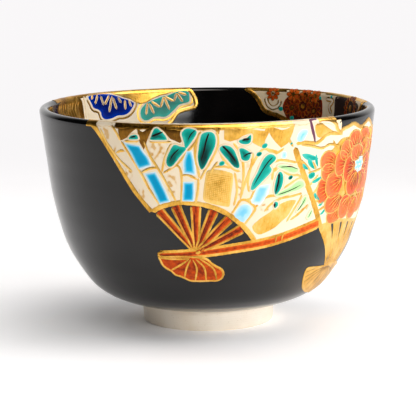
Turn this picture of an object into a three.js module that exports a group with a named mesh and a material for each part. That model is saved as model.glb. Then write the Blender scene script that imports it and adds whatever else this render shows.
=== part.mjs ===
// A footed tea bowl, thrown and turned in one piece: a low foot ring with a shallow recess inside it,
// a nearly flat underside that turns up into a gently flaring wall, and a rounded lip.
// Millimetres, +Z up, origin at the centre of the circle that the foot ring stands on.

import * as THREE from "three";

// Overall size.
const height = 79.6;
const rimRadius = 61.2;
const lipThickness = 3.5;

// Foot ring and the recess turned out inside it.
const footRadius = 23.9;
const footTopRadius = 24.3;
const footHeight = 7.5;
const footWidth = 3.3;
const footOuterRounding = 0.9;
const footInnerRounding = 0.7;
const footFillet = 1.0;
const recessDepth = 5.0;
const recessTopRadius = 20.0;
const recessFillet = 0.8;

// Inside of the bowl at its middle.
const floorHeight = 11.0;

// Lean of the wall away from upright where it meets the lip, in degrees.
const wallLean = 10;

// Outer wall as [radius, height], from the underside beside the foot up to just below the lip.
const outerWall = [
  [29.0, 8.2],
  [34.0, 9.8],
  [39.0, 12.2],
  [44.0, 16.6],
  [50.8, 27.0],
  [54.4, 37.0],
  [57.2, 49.0],
  [58.9, 61.0],
  [60.3, 71.0],
];

// Inner wall as [radius, height], from just below the lip down to the floor.
// The wall thickens from about 3.6 mm near the lip to about 6 mm over the foot.
const innerWall = [
  [56.7, 71.0],
  [54.9, 61.0],
  [53.0, 49.0],
  [49.9, 37.0],
  [45.8, 27.6],
  [38.5, 19.2],
  [28.0, 14.0],
  [14.0, 11.6],
];

// Fineness of the faceting.
const segmentsAround = 72;
const outerWallSteps = 17;
const innerWallSteps = 12;
const lipSteps = 9;
const roundingSteps = 2;

const radians = THREE.MathUtils.degToRad;
const lipRadius = lipThickness / 2;
const lipCentre = new THREE.Vector2(rimRadius - lipRadius, height - lipRadius);

// Points along a circular arc about a centre, from one angle to another, in degrees.
function arc(centreR, centreZ, radius, fromDegrees, toDegrees, steps) {
  const points = [];
  for (let i = 0; i <= steps; i += 1) {
    const angle = radians(fromDegrees + ((toDegrees - fromDegrees) * i) / steps);
    points.push(
      new THREE.Vector2(centreR + radius * Math.cos(angle), centreZ + radius * Math.sin(angle)),
    );
  }
  return points;
}

// Points of a smooth curve through a short list of points, without its two ends.
function smoothBetween(start, list, end, steps) {
  const through = [start, ...list.map(([r, z]) => new THREE.Vector2(r, z)), end];
  return new THREE.SplineCurve(through).getSpacedPoints(steps).slice(1, -1);
}

// Closed half section of the bowl, from the axis under the foot, round the outside and back to the axis.
function bowlSection() {
  const recess = arc(
    recessTopRadius - recessFillet,
    recessDepth - recessFillet,
    recessFillet,
    90,
    0,
    roundingSteps,
  );
  const footInner = arc(
    footRadius - footWidth + footInnerRounding,
    footInnerRounding,
    footInnerRounding,
    180,
    270,
    roundingSteps,
  );
  const footOuter = arc(
    footRadius - footOuterRounding,
    footOuterRounding,
    footOuterRounding,
    -90,
    0,
    roundingSteps + 1,
  );
  const footJoin = arc(
    footTopRadius + footFillet,
    footHeight - footFillet,
    footFillet,
    180,
    90,
    roundingSteps,
  );
  const lip = arc(lipCentre.x, lipCentre.y, lipRadius, -wallLean, 180 - wallLean, lipSteps);
  const floor = new THREE.Vector2(0, floorHeight);
  const outside = smoothBetween(footJoin[footJoin.length - 1], outerWall, lip[0], outerWallSteps);
  const inside = smoothBetween(lip[lip.length - 1], innerWall, floor, innerWallSteps);
  return [
    new THREE.Vector2(0, recessDepth),
    ...recess,
    ...footInner,
    ...footOuter,
    ...footJoin,
    ...outside,
    ...lip,
    ...inside,
    floor,
  ];
}

// The whole bowl: its section turned about the upright axis.
function makeTeaBowl() {
  const geometry = new THREE.LatheGeometry(bowlSection(), segmentsAround);
  geometry.rotateX(Math.PI / 2);
  const blackGlaze = new THREE.MeshStandardMaterial({
    color: 0x2b2a2c,
    roughness: 0.22,
    metalness: 0,
  });
  const bowl = new THREE.Mesh(geometry, blackGlaze);
  bowl.name = "tea_bowl";
  return bowl;
}

const part = new THREE.Group();
part.name = "footed_tea_bowl";
part.add(makeTeaBowl());

export default part;
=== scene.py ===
import math

import bpy
import numpy as np
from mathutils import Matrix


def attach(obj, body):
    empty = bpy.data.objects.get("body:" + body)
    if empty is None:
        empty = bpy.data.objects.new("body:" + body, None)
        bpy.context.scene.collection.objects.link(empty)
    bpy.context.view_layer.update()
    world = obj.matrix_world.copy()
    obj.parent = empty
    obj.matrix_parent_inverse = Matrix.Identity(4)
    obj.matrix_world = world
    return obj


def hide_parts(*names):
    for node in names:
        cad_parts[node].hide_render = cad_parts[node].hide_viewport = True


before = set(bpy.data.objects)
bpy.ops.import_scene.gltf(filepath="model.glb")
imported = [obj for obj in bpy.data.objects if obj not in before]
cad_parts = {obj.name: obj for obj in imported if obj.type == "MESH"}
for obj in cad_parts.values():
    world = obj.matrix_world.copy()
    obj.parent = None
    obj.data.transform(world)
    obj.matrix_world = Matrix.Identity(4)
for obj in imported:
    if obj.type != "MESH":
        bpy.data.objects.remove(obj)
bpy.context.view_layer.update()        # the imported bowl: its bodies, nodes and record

rng = np.random.default_rng(7)
metre = 0.001            # everything below is in millimetres until it becomes a mesh
crispAngle = 40          # degrees: an edge that bends more than this stays crisp
print("tea bowl: frame loaded")


# Small helpers

def hexToLinear(code):
    # An sRGB hex colour such as "#1aa0d8" to linear red, green, blue and alpha
    value = np.array([int(code[i:i + 2], 16) / 255 for i in (1, 3, 5)])
    linear = np.where(value <= 0.04045, value / 12.92, ((value + 0.055) / 1.055) ** 2.4)
    return (*linear.tolist(), 1.0)


def smoothThrough(points, perSpan=10, closed=False):
    # Catmull-Rom: every span is a cubic set by its two ends and the points before and after them
    p = np.asarray(points, float)
    if closed:
        padded = np.vstack([p[-1:], p, p[:2]])
        spans = len(p)
    else:
        padded = np.vstack([p[:1], p, p[-1:]])
        spans = len(p) - 1
    t = np.linspace(0, 1, perSpan, endpoint=False)[None, :, None]
    a, b, c, d = (padded[i:spans + i, None] for i in range(4))
    curve = (2 * b + (c - a) * t + (2 * a - 5 * b + 4 * c - d) * t ** 2
             + (3 * b - a - 3 * c + d) * t ** 3) / 2
    curve = curve.reshape(-1, p.shape[1])
    return curve if closed else np.vstack([curve, p[-1:]])


def resample(points, step=None, count=None, closed=False):
    # Even steps along a line, by its running length
    p = np.vstack([points, points[:1]]) if closed else np.asarray(points, float)
    run = np.r_[0, np.cumsum(np.linalg.norm(np.diff(p, axis=0), axis=1))]
    n = count or max(4, int(round(run[-1] / step)) + 1)
    at = np.linspace(0, run[-1], n, endpoint=not closed)
    return np.stack([np.interp(at, run, p[:, k]) for k in range(p.shape[1])], axis=1)


def arcPoints(centre, radius, fromDegrees, toDegrees, count=14):
    # A circular arc: the centre plus the radius times the cosine and sine of an even run of angles
    a = np.radians(np.linspace(fromDegrees, toDegrees, count))
    return np.stack([centre[0] + radius * np.cos(a), centre[1] + radius * np.sin(a)], axis=1)


# The bowl's own shape

bowl = {
    "height": 79.6,
    "rimRadius": 61.2,
    "lipThickness": 3.5,
    "wallLean": 10,              # degrees from upright where the wall meets the lip
    "footRadius": 23.9,
    "footTopRadius": 24.3,
    "footHeight": 7.5,
    "footWidth": 3.3,
    "footOuterRounding": 0.9,
    "footInnerRounding": 0.7,
    "footFillet": 1.0,
    "recessDepth": 5.0,
    "recessTopRadius": 20.0,
    "recessFillet": 0.8,
    "floorHeight": 11.0,
    "outerWall": [(29.0, 8.2), (34.0, 9.8), (39.0, 12.2), (44.0, 16.6), (50.8, 27.0), (54.4, 37.0),
                  (57.2, 49.0), (58.9, 61.0), (60.3, 71.0)],
    "innerWall": [(56.7, 71.0), (54.9, 61.0), (53.0, 49.0), (49.9, 37.0), (45.8, 27.6), (38.5, 19.2),
                  (28.0, 14.0), (14.0, 11.6)],
    "wallUp": 89.3,              # length up the outer wall, from the foot to the crest of the lip
    "drawRadius": 59.0,          # the artwork counts millimetres round the bowl at this radius
    "bareUp": 1.1,               # the glaze starts this far up the wall from the foot
    "columns": 360,
    "sampleStep": 0.1,           # along the section, before it is thinned to rows
    "rowStep": 1.1,              # between rows where the section runs straight
    "bendRows": 3.0,             # more rows for each radian that a sample bends
    "mostRows": 0.6,             # and no more than this for a sample
    "ridgePitch": 7.5,           # the faint spiral left by the thrower's fingers
    "ridgeDepth": 0.016,
    "oval": 0.12,                # how far the rim is off a true circle
    "rimWave": 0.12,             # rise and fall of the rim
}


def bowlSection():
    # The closed half section as a fine run of radius and height, from arcs and smooth lines: recess, foot,
    # outer wall, lip, inner wall, floor
    b = bowl
    lipRadius = b["lipThickness"] / 2
    lipCentre = (b["rimRadius"] - lipRadius, b["height"] - lipRadius)
    recess = arcPoints((b["recessTopRadius"] - b["recessFillet"], b["recessDepth"] - b["recessFillet"]),
                       b["recessFillet"], 90, 0)
    footInner = arcPoints((b["footRadius"] - b["footWidth"] + b["footInnerRounding"],
                           b["footInnerRounding"]),
                          b["footInnerRounding"], 180, 270)
    footOuter = arcPoints((b["footRadius"] - b["footOuterRounding"], b["footOuterRounding"]),
                          b["footOuterRounding"], -90, 0)
    footJoin = arcPoints((b["footTopRadius"] + b["footFillet"], b["footHeight"] - b["footFillet"]),
                         b["footFillet"], 180, 90)
    lip = arcPoints(lipCentre, lipRadius, -b["wallLean"], 180 - b["wallLean"], 40)
    floor = (0.0, b["floorHeight"])
    outside = smoothThrough([footJoin[-1], *b["outerWall"], lip[0]])
    inside = smoothThrough([lip[-1], *b["innerWall"], floor])
    parts = [[(0.0, b["recessDepth"])], recess, footInner, footOuter, footJoin, outside[1:-1], lip,
             inside[1:]]
    line = np.vstack(parts)
    keep = np.r_[True, np.linalg.norm(np.diff(line, axis=0), axis=1) > 1e-6]
    line = resample(line[keep], step=b["sampleStep"])
    run = np.arange(len(line)) * np.linalg.norm(line[1] - line[0])
    crest = np.argmax(line[:, 1])
    tangent = np.gradient(line, axis=0)
    tangent /= np.linalg.norm(tangent, axis=1)[:, None]
    return {
        "up": run - run[crest] + b["wallUp"],
        "r": line[:, 0],
        "z": line[:, 1],
        "nr": tangent[:, 1],
        "nz": -tangent[:, 0],
    }


section = bowlSection()


def onWall(x, up, lift=0.0):
    # A point of the bowl's skin: x millimetres round from the front, up along the wall and lift outwards.
    # The section is turned about the upright axis, then made slightly oval by a cosine of twice the turn,
    # waved at the rim by a sine of three times it, and ridged by a sine of the height.
    turn = x / bowl["drawRadius"]
    r, z, nr, nz = (np.interp(up, section["up"], section[k]) for k in ("r", "z", "nr", "nz"))
    share = np.clip(z / bowl["height"], 0, 1)
    ridge = np.sin(2 * np.pi * (z / bowl["ridgePitch"] + turn / (2 * np.pi)))
    ridge = ridge * bowl["ridgeDepth"] * np.clip((share - 0.15) * 8, 0, 1)
    out = bowl["oval"] * np.cos(2 * turn + 0.8) * share ** 2
    r = r + nr * (lift + ridge) + out * np.clip(r / 20, 0, 1)
    z = z + nz * (lift + ridge) + bowl["rimWave"] * np.sin(3 * turn + 0.5) * share ** 6
    return np.stack([r * np.sin(turn), -r * np.cos(turn), z], axis=-1) * metre


def makeObject(name, places, faces, material, attributes=None):
    # One mesh from whole arrays of places and faces
    mesh = bpy.data.meshes.new(name)
    mesh.from_pydata(places.tolist(), [], faces)
    mesh.shade_smooth()
    mesh.set_sharp_from_angle(angle=math.radians(crispAngle))
    for key, values in (attributes or {}).items():
        layer = mesh.attributes.new(key, "FLOAT", "POINT")
        layer.data.foreach_set("value", np.asarray(values, np.float32))
    mesh.materials.append(material)
    mesh.validate()
    piece = bpy.data.objects.new(name, mesh)
    bpy.context.scene.collection.objects.link(piece)
    return piece


def ringFaces(rows, columns, first=0):
    # Quads between neighbouring rings of points, each ring closed on itself
    i, j = np.meshgrid(np.arange(rows - 1), np.arange(columns), indexing="ij")
    k = (j + 1) % columns
    quads = np.stack([i * columns + j, i * columns + k, (i + 1) * columns + k, (i + 1) * columns + j],
                     axis=-1)
    return (quads.reshape(-1, 4) + first).tolist()


# Materials

def feed(tree, node, links):
    # Sockets of a node joined to the outputs that feed them
    for key, source in links.items():
        tree.links.new(source, node.inputs[key])


def addNode(tree, kind, settings=None, inputs=None, links=None):
    # A node with its settings, its plain input values and the sockets that feed it
    node = tree.nodes.new("ShaderNode" + kind)
    for key, value in (settings or {}).items():
        setattr(node, key, value)
    for key, value in (inputs or {}).items():
        node.inputs[key].default_value = value
    feed(tree, node, links or {})
    return node


def startMaterial(name, plain):
    # An empty material with one Principled shader, its plain values set on its own sockets
    material = bpy.data.materials.new(name)
    material.use_nodes = True
    tree = material.node_tree
    tree.nodes.clear()
    shader = addNode(tree, "BsdfPrincipled", inputs=plain)
    addNode(tree, "OutputMaterial", links={"Surface": shader.outputs["BSDF"]})
    place = addNode(tree, "TexCoord").outputs["Object"]
    return material, tree, shader, place


def setRamp(node, stops):
    # Colour stops as (position, hex) pairs
    ramp = node.color_ramp
    while len(ramp.elements) > 1:
        ramp.elements.remove(ramp.elements[-1])
    ramp.elements[0].position = stops[0][0]
    ramp.elements[0].color = hexToLinear(stops[0][1])
    for position, code in stops[1:]:
        ramp.elements.new(position).color = hexToLinear(code)


def perMetre(sizeMm):
    # Noise scale that gives features of about this size, for coordinates in metres
    return 1000.0 / sizeMm


def makeBlackGlaze():
    # Iron-black stoneware glaze, poured and fired glossy: near black, with a soft mirror and few pinholes
    material, tree, shader, place = startMaterial("glossy iron black glaze", {"IOR": 1.46})
    broad = addNode(tree, "TexNoise", inputs={"Scale": perMetre(18), "Detail": 3.0},
                    links={"Vector": place})
    tint = addNode(tree, "ValToRGB", links={"Fac": broad.outputs["Fac"]})
    setRamp(tint, [(0.35, "#040404"), (0.65, "#0b0909")])
    cloudy = addNode(tree, "TexNoise", inputs={"Scale": perMetre(9), "Detail": 4.0},
                     links={"Vector": place})
    rough = addNode(tree, "MapRange",
                    inputs={"From Min": 0.3, "From Max": 0.7, "To Min": 0.09, "To Max": 0.17},
                    links={"Value": cloudy.outputs["Fac"]})
    orange = addNode(tree, "TexNoise", inputs={"Scale": perMetre(2.2), "Detail": 2.0},
                     links={"Vector": place})
    pits = addNode(tree, "TexVoronoi", inputs={"Scale": perMetre(4.5), "Randomness": 1.0},
                   links={"Vector": place})
    pit = addNode(tree, "MapRange",
                  inputs={"From Min": 0.02, "From Max": 0.07, "To Min": 0.0, "To Max": 1.0},
                  links={"Value": pits.outputs["Distance"]})
    height = addNode(tree, "Math", {"operation": "MULTIPLY_ADD"}, {1: 0.35},
                     {0: orange.outputs["Fac"], 2: pit.outputs["Result"]})
    bump = addNode(tree, "Bump", inputs={"Strength": 0.25, "Distance": 0.00004},
                   links={"Height": height.outputs[0]})
    feed(tree, shader,
         {"Base Color": tint.outputs["Color"], "Roughness": rough.outputs["Result"],
          "Normal": bump.outputs["Normal"]})
    return material


def makeBareClay():
    # Fine white stoneware left bare on the foot: cream, dry and matte, with iron specks and turning marks
    material, tree, shader, place = startMaterial("turned bare stoneware",
                                                  {"IOR": 1.45, "Roughness": 0.78})
    broad = addNode(tree, "TexNoise", inputs={"Scale": perMetre(11), "Detail": 4.0},
                    links={"Vector": place})
    tint = addNode(tree, "ValToRGB", links={"Fac": broad.outputs["Fac"]})
    setRamp(tint, [(0.3, "#efe0ca"), (0.7, "#faf0e1")])
    specks = addNode(tree, "TexVoronoi", inputs={"Scale": perMetre(1.6)}, links={"Vector": place})
    isSpeck = addNode(tree, "MapRange",
                      inputs={"From Min": 0.05, "From Max": 0.11, "To Min": 0.45, "To Max": 0.0},
                      links={"Value": specks.outputs["Distance"]})
    colour = addNode(tree, "Mix", {"data_type": "RGBA"}, {7: hexToLinear("#a98a66")},
                     {0: isSpeck.outputs["Result"], 6: tint.outputs["Color"]})
    turning = addNode(tree, "TexWave", {"bands_direction": "Z"},
                      {"Scale": perMetre(2.6), "Distortion": 1.2, "Detail": 2.0}, {"Vector": place})
    grit = addNode(tree, "TexNoise", inputs={"Scale": perMetre(0.45), "Detail": 3.0},
                   links={"Vector": place})
    height = addNode(tree, "Math", {"operation": "MULTIPLY_ADD"}, {1: 0.5},
                     {0: turning.outputs["Fac"], 2: grit.outputs["Fac"]})
    bump = addNode(tree, "Bump", inputs={"Strength": 0.35, "Distance": 0.00008},
                   links={"Height": height.outputs[0]})
    feed(tree, shader, {"Base Color": colour.outputs[2], "Normal": bump.outputs["Normal"]})
    return material


def makeGilding():
    # Fired gold, brushed on and burnished: a soft warm mirror, thinner and browner along the brush marks
    material, tree, shader, place = startMaterial("brushed fired gold", {"Metallic": 1.0})
    shade = addNode(tree, "Attribute", {"attribute_name": "shade"})
    streak = addNode(tree, "Mapping", inputs={"Scale": (1.0, 1.0, 0.4)}, links={"Vector": place})
    brush = addNode(tree, "TexNoise", inputs={"Scale": perMetre(0.7), "Detail": 4.0, "Roughness": 0.65},
                    links={"Vector": streak.outputs[0]})
    broad = addNode(tree, "TexNoise", inputs={"Scale": perMetre(6), "Detail": 3.0},
                    links={"Vector": place})
    lowered = addNode(tree, "Math", {"operation": "SUBTRACT"}, {1: 0.35}, {0: broad.outputs["Fac"]})
    blend = addNode(tree, "Math", {"operation": "MULTIPLY_ADD"}, {1: 0.55},
                    {0: brush.outputs["Fac"], 2: lowered.outputs[0]})
    level = addNode(tree, "Math", {"operation": "MULTIPLY_ADD"}, {1: 0.5},
                    {0: shade.outputs["Fac"], 2: blend.outputs[0]})
    tint = addNode(tree, "ValToRGB", links={"Fac": level.outputs[0]})
    setRamp(tint, [(0.1, "#7a5220"), (0.38, "#ab7828"), (0.7, "#f0b850"), (0.95, "#fbd27a")])
    rough = addNode(tree, "MapRange",
                    inputs={"From Min": 0.35, "From Max": 0.7, "To Min": 0.27, "To Max": 0.42},
                    links={"Value": brush.outputs["Fac"]})
    bump = addNode(tree, "Bump", inputs={"Strength": 0.3, "Distance": 0.00006},
                   links={"Height": brush.outputs["Fac"]})
    feed(tree, shader,
         {"Base Color": tint.outputs["Color"], "Roughness": rough.outputs["Result"],
          "Normal": bump.outputs["Normal"]})
    return material


def makeEnamel(name, stops, roughness=0.13, mottle=0.25, grain=3.0):
    # Overglaze enamel, brushed on and fired: coloured glass, pale where it thins at its edge and deeper
    # where it pools. The stops run from its thin edge to its deepest pool.
    material, tree, shader, place = startMaterial(name,
                                                  {"IOR": 1.5, "Specular IOR Level": 0.1,
                                                   "Roughness": roughness})
    pool = addNode(tree, "Attribute", {"attribute_name": "pool"})
    shade = addNode(tree, "Attribute", {"attribute_name": "shade"})
    cloud = addNode(tree, "TexNoise", inputs={"Scale": perMetre(grain), "Detail": 3.0},
                    links={"Vector": place})
    centred = addNode(tree, "Math", {"operation": "MULTIPLY_ADD"}, {1: mottle, 2: -mottle / 2},
                      {0: cloud.outputs["Fac"]})
    strength = addNode(tree, "Math", {"operation": "MULTIPLY_ADD"}, {1: 0.7, 2: 0.5},
                       {0: shade.outputs["Fac"]})
    level = addNode(tree, "Math", {"operation": "MULTIPLY_ADD"}, {},
                    {0: pool.outputs["Fac"], 1: strength.outputs[0], 2: centred.outputs[0]})
    tint = addNode(tree, "ValToRGB", links={"Fac": level.outputs[0]})
    setRamp(tint, stops)
    bump = addNode(tree, "Bump", inputs={"Strength": 0.25, "Distance": 0.00006},
                   links={"Height": cloud.outputs["Fac"]})
    feed(tree, shader, {"Base Color": tint.outputs["Color"], "Normal": bump.outputs["Normal"]})
    return material


materials = {
    "blackGlaze": makeBlackGlaze(),
    "bareClay": makeBareClay(),
    "gilding": makeGilding(),
    "white": makeEnamel("cream white overglaze enamel",
                        [(0.0, "#cf9446"), (0.14, "#dcab62"), (0.42, "#efd5ac"), (0.9, "#f5e3c6")], 0.34,
                        0.5, 2.2),
    "blue": makeEnamel("turquoise blue overglaze enamel",
                       [(0.0, "#e4f2f6"), (0.22, "#8fd6ef"), (0.5, "#0eb2de"), (0.85, "#0098c8")]),
    "navy": makeEnamel("cobalt blue overglaze enamel",
                       [(0.0, "#5aa0e6"), (0.2, "#0f52c4"), (0.5, "#022f9e"), (0.9, "#011464")]),
    "green": makeEnamel("copper green overglaze enamel",
                        [(0.0, "#6ad2c2"), (0.3, "#1eb0a0"), (0.55, "#06917f"), (0.8, "#05635a"),
                         (1.0, "#08312e")]),
    "paleGreen": makeEnamel("pale green overglaze enamel",
                            [(0.0, "#dff2cc"), (0.4, "#bfeaa6"), (1.0, "#9ad884")]),
    "red": makeEnamel("iron red overglaze enamel",
                      [(0.0, "#f28a36"), (0.3, "#e2641e"), (0.55, "#c84a12"), (0.8, "#90300f"),
                       (1.0, "#581e12")], 0.28, 0.8, 1.2),
    "coral": makeEnamel("coral red overglaze enamel",
                        [(0.0, "#ee8450"), (0.35, "#e46c3a"), (0.65, "#d04e22"), (1.0, "#8c3018")], 0.3,
                        0.6, 1.4),
    "plum": makeEnamel("manganese plum overglaze enamel",
                       [(0.0, "#a98493"), (0.4, "#7d4f63"), (1.0, "#5a3448")], 0.24, 0.3, 1.6),
    "ink": makeEnamel("iron black line enamel",
                      [(0.0, "#5c4438"), (0.35, "#33221f"), (0.7, "#161010"), (1.0, "#0b0909")], 0.3, 0.3,
                      2.0),
}
print("tea bowl: materials made")


# The bowl itself

def makeBowl():
    # Rings of points: the section sampled finely where it bends, each sample turned all the way round, and
    # a fan of triangles over each pole
    up = section["up"]
    bend = np.abs(np.gradient(np.unwrap(np.arctan2(section["nz"], section["nr"]))))
    density = bowl["sampleStep"] / bowl["rowStep"] + np.minimum(bend * bowl["bendRows"], bowl["mostRows"])
    run = np.cumsum(density)
    rows = int(run[-1])
    rowUp = np.interp(np.linspace(run[0], run[-1], rows), run, up)
    columns = bowl["columns"]
    x = np.arange(columns) / columns * 2 * np.pi * bowl["drawRadius"]
    inner = rowUp[1:-1]
    places = onWall(x[None, :], inner[:, None]).reshape(-1, 3)
    count = len(places)
    poles = np.array([[0, 0, bowl["recessDepth"]], [0, 0, bowl["floorHeight"]]]) * metre
    places = np.vstack([places, poles])
    faces = ringFaces(len(inner), columns)
    k = np.arange(columns)
    nextK = (k + 1) % columns
    last = (len(inner) - 1) * columns
    faces += np.stack([nextK, k, np.full(columns, count)], axis=1).tolist()
    faces += np.stack([last + k, last + nextK, np.full(columns, count + 1)], axis=1).tolist()
    piece = makeObject("teaBowl", places, faces, materials["blackGlaze"])
    piece.data.materials.append(materials["bareClay"])
    # the foot, its recess and a thin margin beside it are left bare
    faceUp = np.concatenate([np.repeat((inner[:-1] + inner[1:]) / 2, columns), np.full(columns, rowUp[0]),
                             np.full(columns, rowUp[-1])])
    piece.data.polygons.foreach_set("material_index", (faceUp < bowl["bareUp"]).astype(np.int32))
    piece.data.update()
    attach(piece, "root")
    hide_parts("tea_bowl")
    print("tea bowl: body", len(places), "points,", rows, "rings")


makeBowl()


# Laying enamel and gold on the wall.
# Every patch and line is a closed, thin solid drawn on the unrolled wall and sunk a little into it.
# Artwork is placed in degrees round from the front and millimetres up the wall from the foot.

layers = {key: {"places": [], "faces": [], "count": 0} for key in materials}
sink = 0.15              # how far a layer goes down into the wall
mmPerDegree = math.radians(1) * bowl["drawRadius"]


def at(points):
    # (degrees, up) pairs, or one of them, to millimetres on the unrolled wall
    return np.asarray(points, float) * (mmPerDegree, 1.0)


def loft(key, rows):
    # Closed rings of (x, up, lift, pool, shade) joined ring to ring, with a fan over each end
    rings, columns = rows.shape[:2]
    store = layers[key]
    first = store["count"]
    body = rows.reshape(-1, 5)
    ends = np.stack([rows[0].mean(axis=0), rows[-1].mean(axis=0)])
    store["places"].append(np.vstack([body, ends]))
    faces = ringFaces(rings, columns, first)
    k = np.arange(columns)
    nextK = (k + 1) % columns
    tail = first + (rings - 1) * columns
    low = first + rings * columns
    faces += np.stack([first + nextK, first + k, np.full(columns, low)], axis=1).tolist()
    faces += np.stack([tail + k, tail + nextK, np.full(columns, low + 1)], axis=1).tolist()
    store["faces"] += faces
    store["count"] += len(body) + 2


def handWobble(p, strength):
    # A brush never keeps its width: one plus two slow sine waves over the wall
    x, up = p[:, 0], p[:, 1]
    return 1 + strength * (np.sin(2.1 * x + 1.7 * up) + 0.6 * np.sin(5.3 * x - 4.1 * up)) / 1.6


def ribbon(key, left, right, base=0.0, thick=0.1, edge=0.3, shade=0.5, across=None):
    # A band ruled between two lines of equally many points: its top is flat, and near both sides it steps
    # down by fixed shares of its thickness
    left, right = np.asarray(left, float), np.asarray(right, float)
    width = np.linalg.norm(right - left, axis=1)
    inner = across or max(2, int(math.ceil(width.max() / 2.2)))
    e = np.clip(edge / np.maximum(width, 1e-6), 0, 0.35)[:, None]
    k = np.linspace(0, 1, inner + 1)[None, :]
    k = np.hstack([0 * e, 0 * e, 0.35 * e, e + (1 - 2 * e) * k, 1 - 0.35 * e, 1 + 0 * e, 1 + 0 * e])
    lift = np.hstack([[-sink, base + 0.2 * thick, base + 0.7 * thick], np.full(inner + 1, base + thick),
                      [base + 0.7 * thick, base + 0.2 * thick, -sink]])
    rise = np.hstack([[0, 0, 0.3], np.full(inner + 1, 1.0), [0.3, 0, 0]])
    rise[3] = rise[-4] = 0.6
    under = k[:, -2:0:-1]
    sunk = np.full(under.shape[1], -sink)
    k = np.hstack([k, under])
    lift = np.hstack([lift, sunk])
    rise = np.hstack([rise, 0 * sunk])
    place = left[:, None] + (right - left)[:, None] * k[..., None]
    n, m = k.shape
    level = np.broadcast_to(np.asarray(shade, float).reshape(-1, 1), (n, m))
    rows = np.concatenate([place, np.broadcast_to(lift, (n, m))[..., None],
                           np.broadcast_to(rise, (n, m))[..., None], level[..., None]], axis=-1)
    loft(key, rows)


def pane(key, left, right, base=0.05, thick=0.12, edge=2.0, shade=0.5, count=26, spill=0.4):
    # A four-sided patch ruled between two lines, its colour deepening by a smooth step of the distance from
    # its nearest edge
    left, right = resample(left, count=count), resample(right, count=count)
    apart = (right - left) / np.linalg.norm(right - left, axis=1)[:, None] * spill
    left, right = left - apart, right + apart
    length = np.linalg.norm(np.diff((left + right) / 2, axis=0), axis=1).sum()
    t = (1 - np.cos(np.linspace(0, np.pi, count)))[:, None] / 2
    k = (1 - np.cos(np.linspace(0, np.pi, 15)))[None, :] / 2
    grid = np.linspace(0, 1, count)
    left, right = (np.column_stack([np.interp(t[:, 0], grid, line[:, i]) for i in (0, 1)])
                   for line in (left, right))
    width = np.linalg.norm(right - left, axis=1)[:, None]
    inward = np.minimum(width * np.minimum(k, 1 - k), length * np.minimum(t, 1 - t))
    soft = np.clip(inward / edge, 0, 1)
    place = left[:, None] + (right - left)[:, None] * k[..., None]
    lift = -sink + (sink + base) * np.clip(inward / 0.05, 0, 1) + thick * np.clip(inward / 0.35, 0,
                                                                                  1) ** 0.5
    top = np.dstack([place, lift, soft * soft * (3 - 2 * soft), np.full(soft.shape, shade)])
    under = top[:, ::-1].copy()
    under[..., 2] = -sink - 0.02
    under[..., 3] = 0
    loft(key, np.concatenate([top, under], axis=1))


def pillow(key, outline, base=0.1, thick=0.12, edge=0.45, shade=0.5, centre=None):
    # A patch filled from its middle: the outline, drawn in towards the centre by the steps that round its
    # edge, then by even ones
    outline = np.asarray(outline, float)
    area = np.sum(outline[:, 0] * np.roll(outline[:, 1], -1) - np.roll(outline[:, 0], -1) * outline[:, 1])
    shade = np.broadcast_to(np.asarray(shade, float), len(outline))
    if area < 0:
        outline, shade = outline[::-1], shade[::-1]
    c = outline.mean(axis=0) if centre is None else np.asarray(centre, float)
    ray = outline - c
    reach = np.linalg.norm(ray, axis=1)
    mid = max(1, int(math.ceil(reach.max() / 2.5)))
    insets = [(0, -sink, 0), (0, base + 0.2 * thick, 0), (0.3 * edge, base + 0.7 * thick, 0.35),
              (edge, base + thick, 0.6)]
    rows = []
    for step in range(1, mid + 1):
        rows.append((ray * (step / (mid + 1)), -sink, 0, 1))
    for inset, lift, rise in insets:
        rows.append((ray * np.maximum(1 - inset / reach, 0.12)[:, None], lift, rise, 1))
    for step in range(mid, 0, -1):
        share = step / (mid + 1)
        rows.append((ray * np.maximum(1 - edge / reach, 0.12)[:, None] * share, base + thick,
                     1 - 0.3 * share, share))
    rows = [np.column_stack([c + r, np.full(len(r), lift), np.full(len(r), rise),
                             shade.mean() + (shade - shade.mean()) * share])
            for r, lift, rise, share in rows]
    loft(key, np.stack(rows))


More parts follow.
